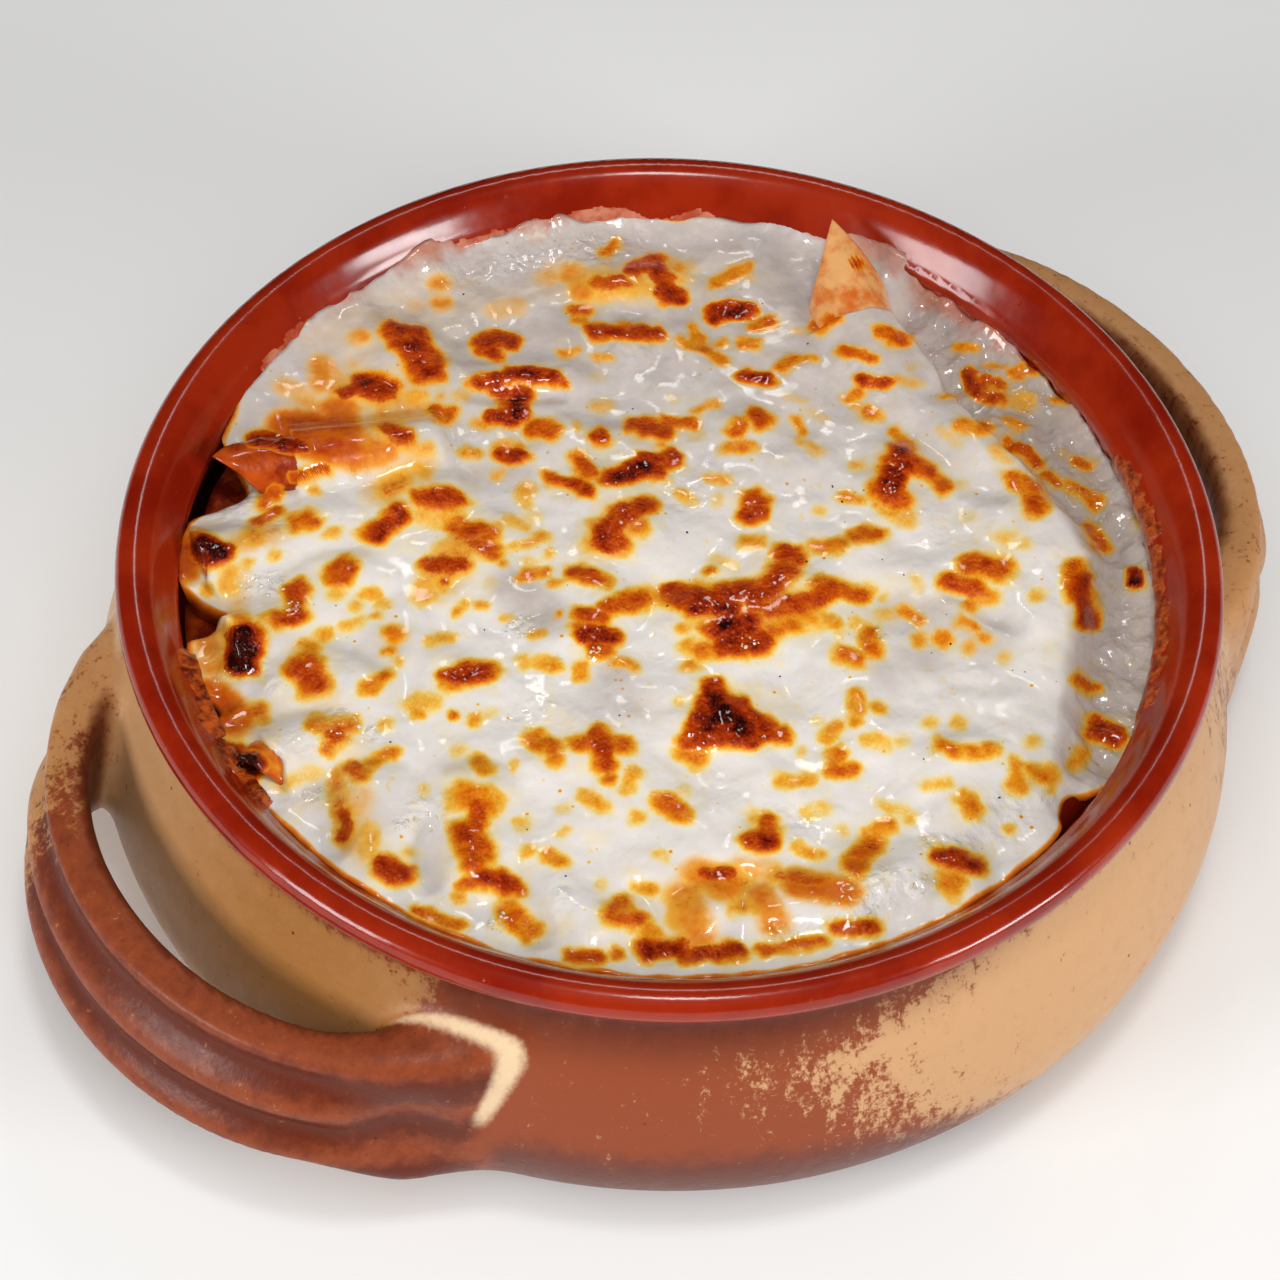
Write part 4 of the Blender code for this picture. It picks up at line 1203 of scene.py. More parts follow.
    (43, -34, 48.5, -33.7, 1, .38), (48, -33.3, 1.2, .42), (54.8, -31.8, .8, .2),
    (52.3, -36.3, 52.3, -39.7, 1.3, .36), (54.5, -36.8, 57, -38, 1.4, .38), (53, -36.5, 57, -36.5, 1, .25),
    (57, -40, .8, .2), (44.8, -42.5, 45.8, -44.5, 1.5, .38), (45.2, -43.4, 2.5, .15),
    (38.8, -40.3, 42, -39.8, .6, .22), (33, -44.7, 35.5, -45.5, .8, .18), (36.5, -46.5, .8, .18),
    (30.5, -50, 33.5, -48, 1, .38), (26.7, -49, .7, .12), (50.8, -48, .5, .35),
    (62.5, -19, 63.5, -20.8, .8, .55), (65, -20.8, .5, .5), (64.5, -28.5, 67, -30, 2, .85),
    (62, -33, 61, -35.5, 1, .33), (51, -15.7, .6, .25), (-39, -59.5, -37, -60.3, 2.1, .85),
    (-42, -53, -41.5, -55, 1, .3), (-41.5, -57.2, 1.2, .25), (-45.5, -50, .9, .4), (-35.9, -56.5, .8, .15),
    (-34.8, -45.5, .6, .15), (-23.8, -60.8, -21.3, -61.8, 2.2, .85), (-27.5, -62, -25, -60.8, .9, .5),
    (-28, -64, .6, .35), (-21, -66.5, -18, -69, 2.2, .5), (-19.8, -51, .8, .18), (-19, -55.5, 1, .25),
    (-15.5, -56, -14.3, -57, 1.3, .38), (-14, -52, .6, .15), (-8, -60.5, .6, .15), (.3, -55.3, .8, .2),
    (-2.6, -61, -1, -61.5, .9, .33), (1.8, -62, 1, .14), (-6, -65.5, -3, -66.5, 2.1, .55),
    (-5.3, -63.5, 1.2, .45), (-2.8, -66.8, 1, .65), (7.3, -58.3, 10, -57.8, 1.3, .75),
    (6, -59.5, 11.5, -59.5, 2.2, .4), (5, -61, 3.3, -66.5, 1, .38), (-1, -71.5, 3.5, -71, 1.8, .8),
    (-.8, -68.5, 1.5, .4), (11.5, -63.5, 14.5, -63, 1, .4), (-5.3, -72.7, 1.2, .5),
    (4, -72, 12, -71, 1.2, .75), (-34, -66.5, -28, -69, .8, .5), (15, -70.8, 24, -68.5, .8, .5),
    (-12, -73, -8, -73.3, 1, .6), (20.5, -52.5, 22.8, -54, .9, .27), (17.5, -58, 24, -58.3, 1.2, .5),
    (17.3, -57.8, .9, .5), (30.5, -51.8, 28.3, -55.5, 2.1, .52), (25.5, -66.3, 31, -66, .9, .65),
    (30.5, -66, 1.3, .75), (41, -53, 45.5, -54.3, 1.9, .85), (42.2, -57.8, 2.5, .4),
    # blisters on the pasta ends
    (-71.8, -1.5, -70.2, -2.5, 3.0, 1.25), (-64.2, -18.5, -63.7, -23.5, 2.9, 1.25),
    (-66.5, -40.5, -60.5, -42.5, 2.6, 1.25), (29, 66.5, 1.5, .75),
)

# Sauce that stains the cheese or shows through it, in the same form
SAUCED: tuple[tuple[float, ...], ...] = (
    (-57.5, 38, -57, 33.5, 1.8, .5), (-63, 33, -58, 29.5, 1.5, .4), (-52, 44.5, 1.3, .5),
    (-52.5, 38, 1.2, .3), (-43.5, 52, 1.3, .3), (-39.2, 53, 1.4, .5), (-39.8, 57.5, 1.5, .5),
    (-36, 57, 1, .2), (-22, 60, 2, .4), (-18, 61, 2.5, .5), (-16.5, 57, 1.8, .6),
    (-54, 28, -52, 22, 3.5, .75), (-60, 23, -48, 20, 4.5, .6), (-74, -1, -75, -6, 2.5, .9),
    (-66, 0, -62, 2, 2, .4), (-70, -17, -68, -24, 2.4, .5), (-68, -30, -64, -34, 3, .9),
    (-70, -36, -66, -42, 2.5, .9), (-48, 26, -42, 30, 3, .4), (-46, 12, -40, 18, 3, .35),
    (-60, 30, -50, 30, 4, .3), (-32, 0, -36, -8, 4, .3), (-12, 2, -8, 10, 4, .25),
    (-50, -30, -46, -38, 4, .2), (10, -12, 18, -2, 6, .2), (-58, 44, -40, 57, 6, .17),
    (-60, 24, -52, 42, 5, .2), (-42, 50, -28, 55, 5, .15), (-22, 58, -2, 60, 6, .2),
    (-60, 22, -52, 20, 3.5, .9), (-62, 25, -54, 25, 2.5, .9), (-50, 18, -46, 20, 2.5, .6),
    (-58, -36, -50, -47, 4, .15), (-46, -45, -42, -58, 3.5, .25), (6, -58, 10, -60, 2.5, .6),
    (15, -61, 17, -66, 1.8, .55), (20, -59, 27, -60, 2, .7), (12, -57, 16, -57, 2, .4),
    (4, -62, 6, -69, 3, .5), (-44, -47, -44, -56, 2, .35), (-56, 36, -55, 33, 2, .45),
    (-47, 30, -45, 31, 2.2, .4), (-30, 52, -27, 53, 2, .35), (42, -6, 48, -13, 4, .12), (56, 37, 2.4, .35),
    (-20, 61, -6, 58, 4, .3), (-66, -6, -66, -12, 2, .3),
)

# Thin cheese, through which the darker food shows, in the same form
THIN: tuple[tuple[float, ...], ...] = (
    (-24, -6, -19, -11, 3.2, .95), (-31, 15.5, -24, 16.5, 3, .8), (-22, 31.5, -17, 31, 2.2, .7),
    (-6.5, -27, 5, .7), (-7.5, -22, 2.5, .8), (38, -8, 49, -12, 6, .65), (-41.3, -18, 3.5, .5),
    (-42, -50, 4, .5), (33, -20, 40, -16, 4, .5), (-60, -20, 4, .4),
)

# Wet places that glint, in the same form
WET: tuple[tuple[float, ...], ...] = (
    (-22.6, -14.3, 2.5, 1), (-61, -8, 2.5, 1), (-64.5, -8, 2, 1), (-67.3, 6.2, 1.2, 1), (-57, -12.3, 1, 1),
    (-64.2, -24, 2.5, 1), (-61.3, -23.5, 2, 1), (-66.2, -26.3, 1, 1), (-68.3, -22.7, 1.5, 1),
    (-50.8, -47, 1.5, 1), (-48.5, -33.3, 1.8, 1), (-43, -36, 1.2, 1), (-37.5, -51.5, 1.5, 1),
    (-35.3, -50, 1.2, 1), (-58.7, -27.5, 1.5, 1), (-17, -21.2, 1.3, 1), (-10.7, -18.7, 1.3, 1),
    (12.5, -15.3, 1.5, 1), (6, -35.3, 1.2, 1), (4.5, -33.2, 14, -33.2, .8, 1), (32.2, -12.5, 1.2, 1),
    (56.5, -42, 1.2, 1), (26, -63, 33, -57.5, 2, 1), (16.5, -67.8, 19.5, -68.8, 1.2, 1), (38, -58.5, 2, 1),
    (39, -51, 45.5, -50.5, 1.2, 1), (-13.5, -63, 1.2, 1), (-22, -68, 1.8, 1), (32.5, 36.8, 1.2, 1),
    (56.5, 35, 1.5, 1), (73, 9.5, 2, 1), (-66, 12, -68, 6, 2.5, .9), (65, 1.5, 1.5, 1),
    (62, 2.7, 61.7, -3, 1, 1), (62.3, 43.5, 1.4, 1), (-49.7, 15.3, 1.5, 1), (48, 38, 60, 44, 4, .7),
    (-40, 60, -10, 68, 4, .6), (-34, -50, 5, .7), (-52, -38, 4, .6), (30, -60, 5, .8), (-44, 6, 4, .4),
    (2, 14, 5, .35), (40, 10, 5, .3), (-20, -30, 5, .35), (20, -48, 6, .35), (50, -46, 6, .5),
    (-8, 46, 6, .4), (30, 44, 5, .4), (-62, 4, 3, .6),
)

# Humps of the cheese over the pasta under it: u and v of both ends, half width, height
HUMPS: tuple[tuple[float, ...], ...] = (
    (-42, -45, -42, -57, 6, 2.5), (-36.5, -50, -36.4, -50, 5, 1.5), (-27, -45, -27, -58, 6, 2.6),
    (-14, -64, -9, -66, 6, 1.6), (-4.5, -65.5, -4.4, -65.5, 4.5, 1.2), (7.5, -64.5, 7.6, -64.5, 6, 1.8),
    (17, -63, 22, -61, 6, 1.8), (27, -60, 36, -56, 6.5, 2.4), (43, -55, 43.1, -55, 6, 1.8),
    (29, -53, 29.1, -53, 4, 1), (-50, 46, -36, 36, 7, 2.2), (-49, 33, -48.9, 33, 5, 1.5),
    (-30, 44, -29.9, 44, 5, 1.2), (-32, 38, -18, 39, 5, 1.6), (-12, 60, -3, 60, 6, 1.5),
    (-15, 48, -2, 48, 6, 1.3), (35, 24, 37, 14, 7, 1.6), (56, 10, 57, -6, 9, 1.6), (52, 26, 46, 33, 7, 1.3),
    (-54, 6, -38, 12, 7, 2), (-58, -10, -50, -4, 6, 1.6), (-56, -24, -44, -26, 7, 1.8),
    (-54, -36, -42, -36, 6, 1.4), (-36, 2, -28, 4, 7, 1.2), (-26, -24, -34, -24, 7, 1.2),
    (-8, 6, -8, 14, 8, 1.4), (-12, -14, -10, -4, 7, 1.2), (6, -10, 20, -7, 9, 1.4),
    (6, -28, 14, -31, 8, 1.2), (-10, -36, -6, -44, 8, 1.2), (20, 24, 10, 30, 7, 1.2),
    (30, 4, 48, 2, 8, 1.2), (26, -16, 32, -28, 8, 1.2), (42, -36, 54, -36, 8, 1.4),
    (22, 44, 34, 44, 7, 1.3), (-4, 26, -20, 28, 7, 1), (44, -44, 45, -42, 5, 1), (-42, -20, -40, -14, 6, 1),
    (0, -48, 14, -50, 7, 1),
)

# Creases between the humps, in the same form, with their depths
CREASES: tuple[tuple[float, ...], ...] = (
    (-47.5, -44, -46, -56, 1.6, .9), (-33, 34, -19, 35.5, 2, .8), (-34, -50, -33, -60, 2.4, 1),
    (-20, -58, -17, -68, 2.6, 1), (38, -8, 46, -14, 6, 1), (44, -2, 53, -8, 2.5, .6),
    (-2, -60, 2, -70, 2.5, .9), (13, -58, 12, -68, 2.4, .8), (38, 30, 50, 20, 4, .8),
    (-60, 14, -46, 18, 2.5, .9), (0, 60, 4, 50, 3, .8),
)


def marked(u: np.ndarray, v: np.ndarray, rows: Sequence[Sequence[float]], halo: float,
           core: float = 0.5, ragged: Optional[np.ndarray] = None) -> np.ndarray:
    """Strength of a table's places: full in each one's core, fading a halo beyond its width.

    Args:
        u: First coordinates.
        v: Second coordinates.
        rows: Places as both ends, half width and strength, or one point, half width and strength.
        halo: How far the place fades beyond its half width.
        core: Share of the half width that has the full strength.
        ragged: How much the places shrink or swell at each coordinate, as a factor of about 1.

    Returns:
        The largest strength at each coordinate.
    """
    total = np.zeros(len(u))
    for row in rows:
        strip = row if len(row) == 6 else (row[0], row[1], *row)
        half, strength = strip[4], strip[5]
        reach = half + halo
        near = ((u > min(strip[0], strip[2]) - reach) & (u < max(strip[0], strip[2]) + reach)
                & (v > min(strip[1], strip[3]) - reach) & (v < max(strip[1], strip[3]) + reach))
        distance = strip_distance(u[near], v[near], strip)
        if ragged is not None:
            distance = distance * ragged[near]
        shape = strength * (1.0 - smooth_step(core * half, reach, distance))
        total[near] = smooth_most(total[near], shape, 0.12 * strength)
    return total


def browned(places: np.ndarray) -> np.ndarray:
    """Browning at points of the food's surface, with ragged edges."""
    u, v = laid_out(places)
    flat = np.stack([u, v], 1)
    u = u + clouds(flat, (0.8, 3.6, 21), (0.3, 1.7, 22), (0.18, 0.8, 27))
    v = v + clouds(flat, (0.8, 3.6, 23), (0.3, 1.7, 24), (0.18, 0.8, 28))
    brown = marked(u, v, BROWNED, 1.25, 0.3, 1.0 + 0.3 * cloud(flat, 4.0, 26))
    return np.clip(0.88 * brown * (1.0 + 0.25 * cloud(flat, 2.2, 25)), 0.0, 1.0)


def laid_out(places: np.ndarray) -> tuple[np.ndarray, np.ndarray]:
    """Place in the layout's plane, as u and v, that covers each point from the view point."""
    u, v = to_view(places[:, 0], places[:, 1])
    share = (places[:, 2] - LAYOUT_HEIGHT) / (VIEW_POINT[2] - places[:, 2])
    return u + (u - VIEW_POINT[0]) * share, v + (v - VIEW_POINT[1]) * share


@dataclass(frozen=True)
class MeltedCheese:
    """The blanket of cheese over the pasta, with its drop beside the right-hand wall."""

    level: float = 47.3
    radius: float = 75.5
    cells: int = 304
    bottom: float = 41.2
    edge_width: float = 5.0
    edge_roll: float = 2.4
    cover: float = 1.1
    tube_crease: float = 2.4
    lowest: float = 42.2
    highest: float = 51.6
    cliff_drop: float = 4.0
    cliff_width: float = 1.4
    cliff_soft: float = 1.8
    hump_spread: float = 1.5
    crease_spread: float = 1.4
    tube_round: float = 0.62
    tube_fall: float = 30.0
    base_share: float = 0.985
    cliff: tuple[tuple[float, float], ...] = (
        (-33.0, 71.0), (-28.6, 68.9), (-24.5, 67.6), (-17.7, 65.6), (-13.4, 64.8), (-8.0, 64.4),
        (-2.7, 64.6), (2.6, 66.0), (6.4, 67.4), (10.0, 66.3), (13.7, 65.4), (18.9, 63.4), (22.9, 63.0),
        (28.7, 60.4), (33.4, 59.9), (43.7, 60.8), (47.0, 62.8), (52.5, 64.9), (57.0, 65.9))
    hollows: tuple[tuple[float, float, float], ...] = (
        (131.8, 6.8, 4.2), (153.1, 6.5, 2.8), (167.0, 2.0, 2.5), (-71.0, 3.4, 3.6))
    climbs: tuple[tuple[float, float, float], ...] = (
        (16.0, 3.0, 22.0), (84.0, 2.1, 26.0), (-30.0, 1.0, 20.0))

    def ring(self, bearing: np.ndarray) -> np.ndarray:
        """Places on the edge's circle at bearings in radians."""
        return np.stack([np.cos(bearing), np.sin(bearing)], 1) * self.radius

    def outline(self, bearing: np.ndarray) -> np.ndarray:
        """Radius of the uneven edge at bearings in radians."""
        radius = self.radius - 0.3 - clouds(self.ring(bearing), (0.6, 11.0, 31), (0.4, 4.0, 32))
        for centre, depth, half_width in self.hollows:
            radius -= depth * peak(degrees_from(bearing, centre), 0.0, half_width)
        return np.minimum(radius, self.radius)

    def climb(self, bearing: np.ndarray) -> np.ndarray:
        """Height that the edge climbs up the wall at bearings in radians."""
        climb = np.full(len(bearing), 0.7)
        for centre, height, half_width in self.climbs:
            climb += height * peak(degrees_from(bearing, centre), 0.0, half_width)
        return climb * (1.0 + clouds(self.ring(bearing), (0.7, 11.0, 34), (0.2, 4.2, 35)))

    def below_cliff(self, u: np.ndarray, v: np.ndarray) -> np.ndarray:
        """Share of the drop beside the wall, 1 at the foot of the cliff."""
        flat = np.stack([u, v], 1)
        angle = np.degrees(np.arctan2(v, u))
        table = np.array(self.cliff)
        edge = np.interp(angle, table[:, 0], table[:, 1]) + 0.5 * cloud(flat, 5.0, 33)
        run = smooth_step(-36.0, -26.0, angle) * (1.0 - smooth_step(56.0, 64.0, angle))
        width = self.cliff_width + self.cliff_soft * (1.0 - smooth_step(20.0, 34.0, angle))
        return smooth_step(-width, width, np.hypot(u, v) - edge) * run

    def over_tubes(self, x: np.ndarray, y: np.ndarray) -> np.ndarray:
        """Height of the cheese that hangs over the pasta tubes with open ends, or 0 beyond them."""
        height = np.zeros(len(x))
        for tube in PENNE[:-1]:
            turn, rise = math.radians(tube.heading), math.tan(math.radians(tube.pitch))
            behind = -((x - tube.end[0]) * math.cos(turn) + (y - tube.end[1]) * math.sin(turn))
            across = np.abs((y - tube.end[1]) * math.cos(turn) - (x - tube.end[0]) * math.sin(turn))
            shell = tube.radius + self.cover
            round_top = shell * (1.0 - self.tube_round * (across / shell) ** 2)
            top = tube.end[2] - behind * rise + round_top
            ragged = 1.2 * cloud(np.stack([x, y], 1), 4.0, 37)
            run = smooth_step(tube.bare - 1.2, tube.bare + 0.8, behind + ragged)
            run *= 1.0 - smooth_step(tube.length + 0.5, tube.length + 9.0, behind)
            draped = self.level + (top - self.level) * run - self.tube_fall * (1.0 - run) ** 2
            height = np.maximum(height, draped)
        return height

    def top(self, x: np.ndarray, y: np.ndarray) -> np.ndarray:
        """Height of the surface before it is browned."""
        flat = np.stack([x, y], 1)
        u, v = to_view(x, y)
        height = self.level + clouds(flat, (0.8, 17.0, 41), (0.6, 8.0, 42), (0.2, 4.2, 49))
        lift = np.zeros(len(x))
        for row in HUMPS:
            hump = row[5] * bell(strip_distance(u, v, row) / (row[4] * self.hump_spread))
            lift = smooth_most(lift, hump, 0.5)
        sink = np.zeros(len(x))
        for row in CREASES:
            crease = row[5] * bell(strip_distance(u, v, row) / (row[4] * self.crease_spread))
            sink = np.maximum(sink, crease)
        height += lift - 0.5 - sink
        height = smooth_most(height, self.over_tubes(x, y), self.tube_crease)
        height = -smooth_most(-height, np.full(len(x), -self.highest), 2.0)
        return height - self.cliff_drop * self.below_cliff(u, v)

    def build(self, dish: StonewareDish) -> bpy.types.Object:
        """Make and brown the cheese inside the dish."""
        mesh = disc_mesh("melted_cheese", self.cells)
        unit = vertex_places(mesh) * MM
        share, bearing = square_to_disc(unit)
        edge = self.outline(bearing)
        touching = smooth_step(3.0, 0.8, self.radius - edge)
        radius = share * edge
        x, y = radius * np.cos(bearing), radius * np.sin(bearing)
        height = self.top(x, y)
        outer = np.clip(1.0 - (edge - radius) / self.edge_width, 0.0, 1.0)
        height -= self.edge_roll * (1.0 - np.sqrt(1.0 - 0.98 * outer ** 2)) * (1.0 - touching)
        climb = np.maximum(self.climb(bearing), 0.1) * touching
        height += climb * outer ** 2.2
        reach = dish.inside_radius(height + climb * (1.0 - outer ** 2.2)) + 0.3 - self.radius
        radius += reach * touching * outer
        x, y = radius * np.cos(bearing), radius * np.sin(bearing)
        flat = np.stack([x, y], 1)
        height = np.maximum(height, self.lowest + 0.3 * cloud(flat, 5.0, 43))
        brown = browned(np.column_stack([x, y, height]))
        charred = smooth_step(0.35, 0.9, brown)
        low = self.below_cliff(*to_view(x, y))
        height += 0.10 * cloud(flat, 3.6, 44)
        height += low * clouds(flat, (1.1, 7.0, 53), (0.7, 3.2, 54), (0.2, 1.5, 55))
        height += charred * (0.10 + 0.2 * cloud(flat, 1.3, 46)) + 0.12 * smooth_step(0.05, 0.4, brown)
        filmy = outer * touching * smooth_step(1.0, 3.0, climb)
        height += filmy * 0.3 * cloud(flat, 3.6, 48)
        top = unit[:, 2] > -0.5
        places = np.column_stack([x, y, np.where(top, height, self.bottom)])
        u, v = laid_out(places)
        wet = np.maximum.reduce([marked(u, v, WET, 1.0), 0.5 * filmy, 0.75 * low])
        places[:, 2] += np.where(top, wet * 0.3 * cloud(flat, 1.25, 47), 0.0)
        places[~top, :2] *= self.base_share
        move_vertices(mesh, places)
        store(mesh, "browning", np.where(top, brown, 0.0))
        rim_sauce = 0.8 * smooth_step(0.75, 1.0, outer) * smooth_step(1.6, 0.8, climb)
        store(mesh, "sauce", np.maximum(marked(u, v, SAUCED, 3.0, 0.2), rim_sauce))
        # Thin places from the THIN table, and painted shade that grows with v towards the back
        store(mesh, "veil", np.maximum(marked(u, v, THIN, 3.0, 0.2), 0.85 * smooth_step(-10.0, 50.0, v)))
        store(mesh, "film", filmy)
        store(mesh, "wet", wet)
        # low marks the gutter below the cliff, which the finish greys as painted shade
        store(mesh, "low", low)
        return dress(mesh, "melted_cheese", CheeseFinish().make(), ["melted_cheese"])


@dataclass(frozen=True)
class SauceBed:
    """Pasta and sauce under the cheese, seen only in the gaps at its edge."""

    level: float = 40.4
    radius: float = 75.2
    bottom: float = 12.0
    base_share: float = 0.96
    cells: int = 120

    def build(self) -> bpy.types.Object:
        """Make and colour the bed."""
        mesh = disc_mesh("sauce_bed", self.cells)
        unit = vertex_places(mesh) * MM
        share, bearing = square_to_disc(unit)
        x, y = share * self.radius * np.cos(bearing), share * self.radius * np.sin(bearing)
        flat = np.stack([x, y], 1)
        height = self.level + clouds(flat, (1.1, 6.0, 51), (0.5, 2.6, 52))
        top = unit[:, 2] > -0.5
        shrink = np.where(top, 1.0, self.base_share)
        move_vertices(mesh, np.column_stack([x * shrink, y * shrink, np.where(top, height, self.bottom)]))
        finish = PlainFinish("dark_sauce", srgb(96, 20, 6), srgb(150, 52, 10), 5.0, 0.28, 0.8, 0.5)
        return dress(mesh, "sauce_bed", finish.make(), ["pasta_filling"])


@dataclass(frozen=True)
class WallFilm:
    """Dried cheese and sauce that cling to the inside wall, as thin ragged skins."""

    name: str
    bearings: tuple[float, float]
    heights: tuple[float, float]
    finish: PlainFinish
    cover: float
    thickness: float
    seed: int
    lump: float = 4.0
    step: float = 0.55
    slot: Slot = Slot.CHEESE
    ring: float = 76.0

    def build(self, dish: StonewareDish) -> bpy.types.Object:
        """Make the skin on the dish's inside wall."""
        start, end = (math.radians(angle) for angle in self.bearings)
        columns = int((end - start) * self.ring / self.step)
        rows = int((self.heights[1] - self.heights[0]) / self.step)
        bm, grid = grid_skin(columns, rows)
        bearing = start + (grid[:, 0] + 1.0) * 0.5 * (end - start)
        share = (grid[:, 1] + 1.0) * 0.5
        height = self.heights[0] + share * (self.heights[1] - self.heights[0])
        radius = dish.inside_radius(height)
        around = np.column_stack([self.ring * np.cos(bearing), self.ring * np.sin(bearing), height])
        patch = clouds(around, (1.0, self.lump, self.seed), (0.35, self.lump * 0.4, self.seed + 1),
                       (0.15, self.lump * 0.17, self.seed + 3))
        ends = (1.0 + grid[:, 0]) * 0.5, (1.0 - grid[:, 0]) * 0.5
        fade = smooth_step(0.0, 0.12, ends[0]) * smooth_step(0.0, 0.12, ends[1])
        cover = self.cover * fade * (1.0 - share) + patch * 0.55 - 0.30 - 0.8 * share ** 2
        skin = self.thickness * smooth_step(-0.12, 0.25, cover) - 0.25 * (cover < -0.12)
        skin += 0.12 * smooth_step(0.0, 0.3, cover) * cloud(around, 1.6, self.seed + 2)
        for vert, angle, distance, z in zip(bm.verts, bearing, radius - skin, height):
            vert.co = Vector((distance * math.cos(angle), distance * math.sin(angle), z)) * MM
        bare = {vert for vert, value in zip(bm.verts, cover) if value < -0.2}
        hidden = [face for face in bm.faces if all(vert in bare for vert in face.verts)]
        bmesh.ops.delete(bm, geom=hidden, context="FACES")
        bmesh.ops.recalc_face_normals(bm, faces=bm.faces)
        inward = sum(face.normal.dot(face.calc_center_median().xy.to_3d()) for face in bm.faces)
        if inward > 0.0:
            bmesh.ops.reverse_faces(bm, faces=bm.faces)
        bmesh.ops.solidify(bm, geom=bm.faces, thickness=0.5 * MM)
        bmesh.ops.recalc_face_normals(bm, faces=bm.faces)
        return piece_from(bm, self.name, self.finish.make())


WALL_FILMS = (
    WallFilm("wall_film_back", (44.0, 114.0), (47.0, 52.5),
             PlainFinish("grease_film", srgb(198, 124, 96), srgb(172, 70, 42), 4.0, 0.2, 0.9, 0.3),
             cover=0.8, thickness=0.15, seed=61, lump=9.0, step=0.4),
    WallFilm("wall_film_right", (-70.0, 36.0), (42.5, 50.0),
             PlainFinish("baked_film", srgb(160, 62, 24), srgb(150, 40, 10), 2.0, 0.3, 0.6, 0.3),
             cover=0.6, thickness=0.25, seed=71, lump=3.0),
    WallFilm("baked_crust_left", (157.0, 186.0), (42.0, 52.0),
             PlainFinish("baked_crust", srgb(196, 84, 24), srgb(104, 26, 8), 2.2, 0.25, 0.9, 0.6),
             cover=2.2, thickness=1.6, seed=91, lump=3.4, slot=Slot.SAUCE),
    WallFilm("baked_crust_right", (-60.0, -14.0), (43.0, 52.5),
             PlainFinish("baked_edge", srgb(178, 78, 24), srgb(120, 32, 8), 1.8, 0.3, 0.8, 0.5),
             cover=2.0, thickness=0.5, seed=95, lump=2.6, slot=Slot.SAUCE),
)


@dataclass(frozen=True)
class Bits:
    """Many small rounded bits of one kind, scattered in clusters, as one piece."""

    name: str
    clusters: tuple[tuple[float, float, float, int], ...]
    sizes: tuple[float, float]
    flatness: float
    finish: PlainFinish
    slot: Slot
    seed: int
    detail: int = 2
    sunk: float = 0.2

    def build(self, ground: BVHTree) -> bpy.types.Object:
        """Make the bits where a ray from the view point meets the food.

        Args:
            ground: Surface that they lie on, in metres.

        Returns:
            The piece.
        """
        draw = random.Random(self.seed)
        bm = bmesh.new()
        eye = Vector((*from_view(VIEW_POINT[0], VIEW_POINT[1]), VIEW_POINT[2])) * MM
        for u, v, spread, count in self.clusters:
            for _ in range(count):
                angle, away = draw.uniform(0.0, math.tau), spread * math.sqrt(draw.random())
                size = self.sizes[0] + (self.sizes[1] - self.sizes[0]) * draw.random() ** 2
                x, y = from_view(u + away * math.cos(angle), v + away * math.sin(angle))
                aim = Vector((x, y, LAYOUT_HEIGHT)) * MM
                spot, facing, _, _ = ground.ray_cast(eye, (aim - eye).normalized())
                turn, stretch = draw.uniform(0.0, math.tau), draw.uniform(0.8, 1.5)
                if spot is None or facing.z < 0.3:
                    continue
                bit = bmesh.ops.create_icosphere(bm, subdivisions=self.detail, radius=size * MM)["verts"]
                lie = facing.to_track_quat("Z", "Y").to_matrix().to_4x4()
                shape = Matrix.Diagonal((stretch, 1.0 / stretch, self.flatness, 1.0))
                lift = Matrix.Translation(spot - facing * size * self.flatness * self.sunk * MM)
                matrix = lift @ lie @ Matrix.Rotation(turn, 4, "Z") @ shape
                bmesh.ops.transform(bm, matrix=matrix, verts=bit)
        bmesh.ops.recalc_face_normals(bm, faces=bm.faces)
        return piece_from(bm, self.name, self.finish.make())


# Clusters as u and v of the middle, spread and count
SCATTERED = (
    Bits("oil_beads", (
        (-22.6, -14.3, 2.4, 34), (-61, -8, 2.5, 26), (-64.5, -8, 2.0, 18), (-66.5, -26, 1.5, 8),
        (-57, -12.3, 1.2, 8), (-50.8, -47, 1.5, 10), (-37.5, -51.5, 1.6, 12), (-22, -68, 1.8, 16),
        (12.5, -15.3, 1.6, 9), (-10.7, -18.7, 1.3, 7), (32.2, -12.5, 1.2, 7), (58, 37, 4, 14),
        (70, 12, 3.0, 12), (-47, -35, 2.5, 10), (-34, -51, 2.0, 10), (28, -61, 4.0, 16),
        (38, -57, 3.0, 12)), (0.14, 0.42), 0.45,
        PlainFinish("oil_beads", srgb(240, 230, 214), srgb(234, 206, 160), 2.0, 0.05, 1.0, 0.05, 0.4),
        Slot.SAUCE, seed=81),
    Bits("pepper_specks", (
        (-50.7, -11.8, .2, 1), (-54, -11.5, .2, 1), (59, -20, .2, 1), (42.5, -8, .2, 1),
        (63.5, -11.3, .2, 1), (52.6, -18.2, .2, 1), (40.8, 37.3, .2, 1), (46.8, -51.3, .2, 1),
        (2.3, 6, .2, 1), (25, 17, .2, 1), (30, 16.6, .2, 1), (27, 9.7, .2, 1), (46, 12.5, .2, 1),
        (33, 2.5, .2, 1), (36, -.5, .2, 1), (62, 1.7, .2, 1), (0, 0, 66, 40)), (0.1, 0.26), 0.5,
        PlainFinish("black_pepper", srgb(38, 26, 20), srgb(70, 48, 34), 0.6, 0.6, 0.1, 0.1),
        Slot.SAUCE, seed=82, detail=1),
)


# ---------------------------------------------------------------- studio

@dataclass(frozen=True)
class SoftBox:
    """One rectangular light that faces the dish."""

    bearing: float
    rise: float
    width: float
    height: float
    power: float
    mirrored: bool = True


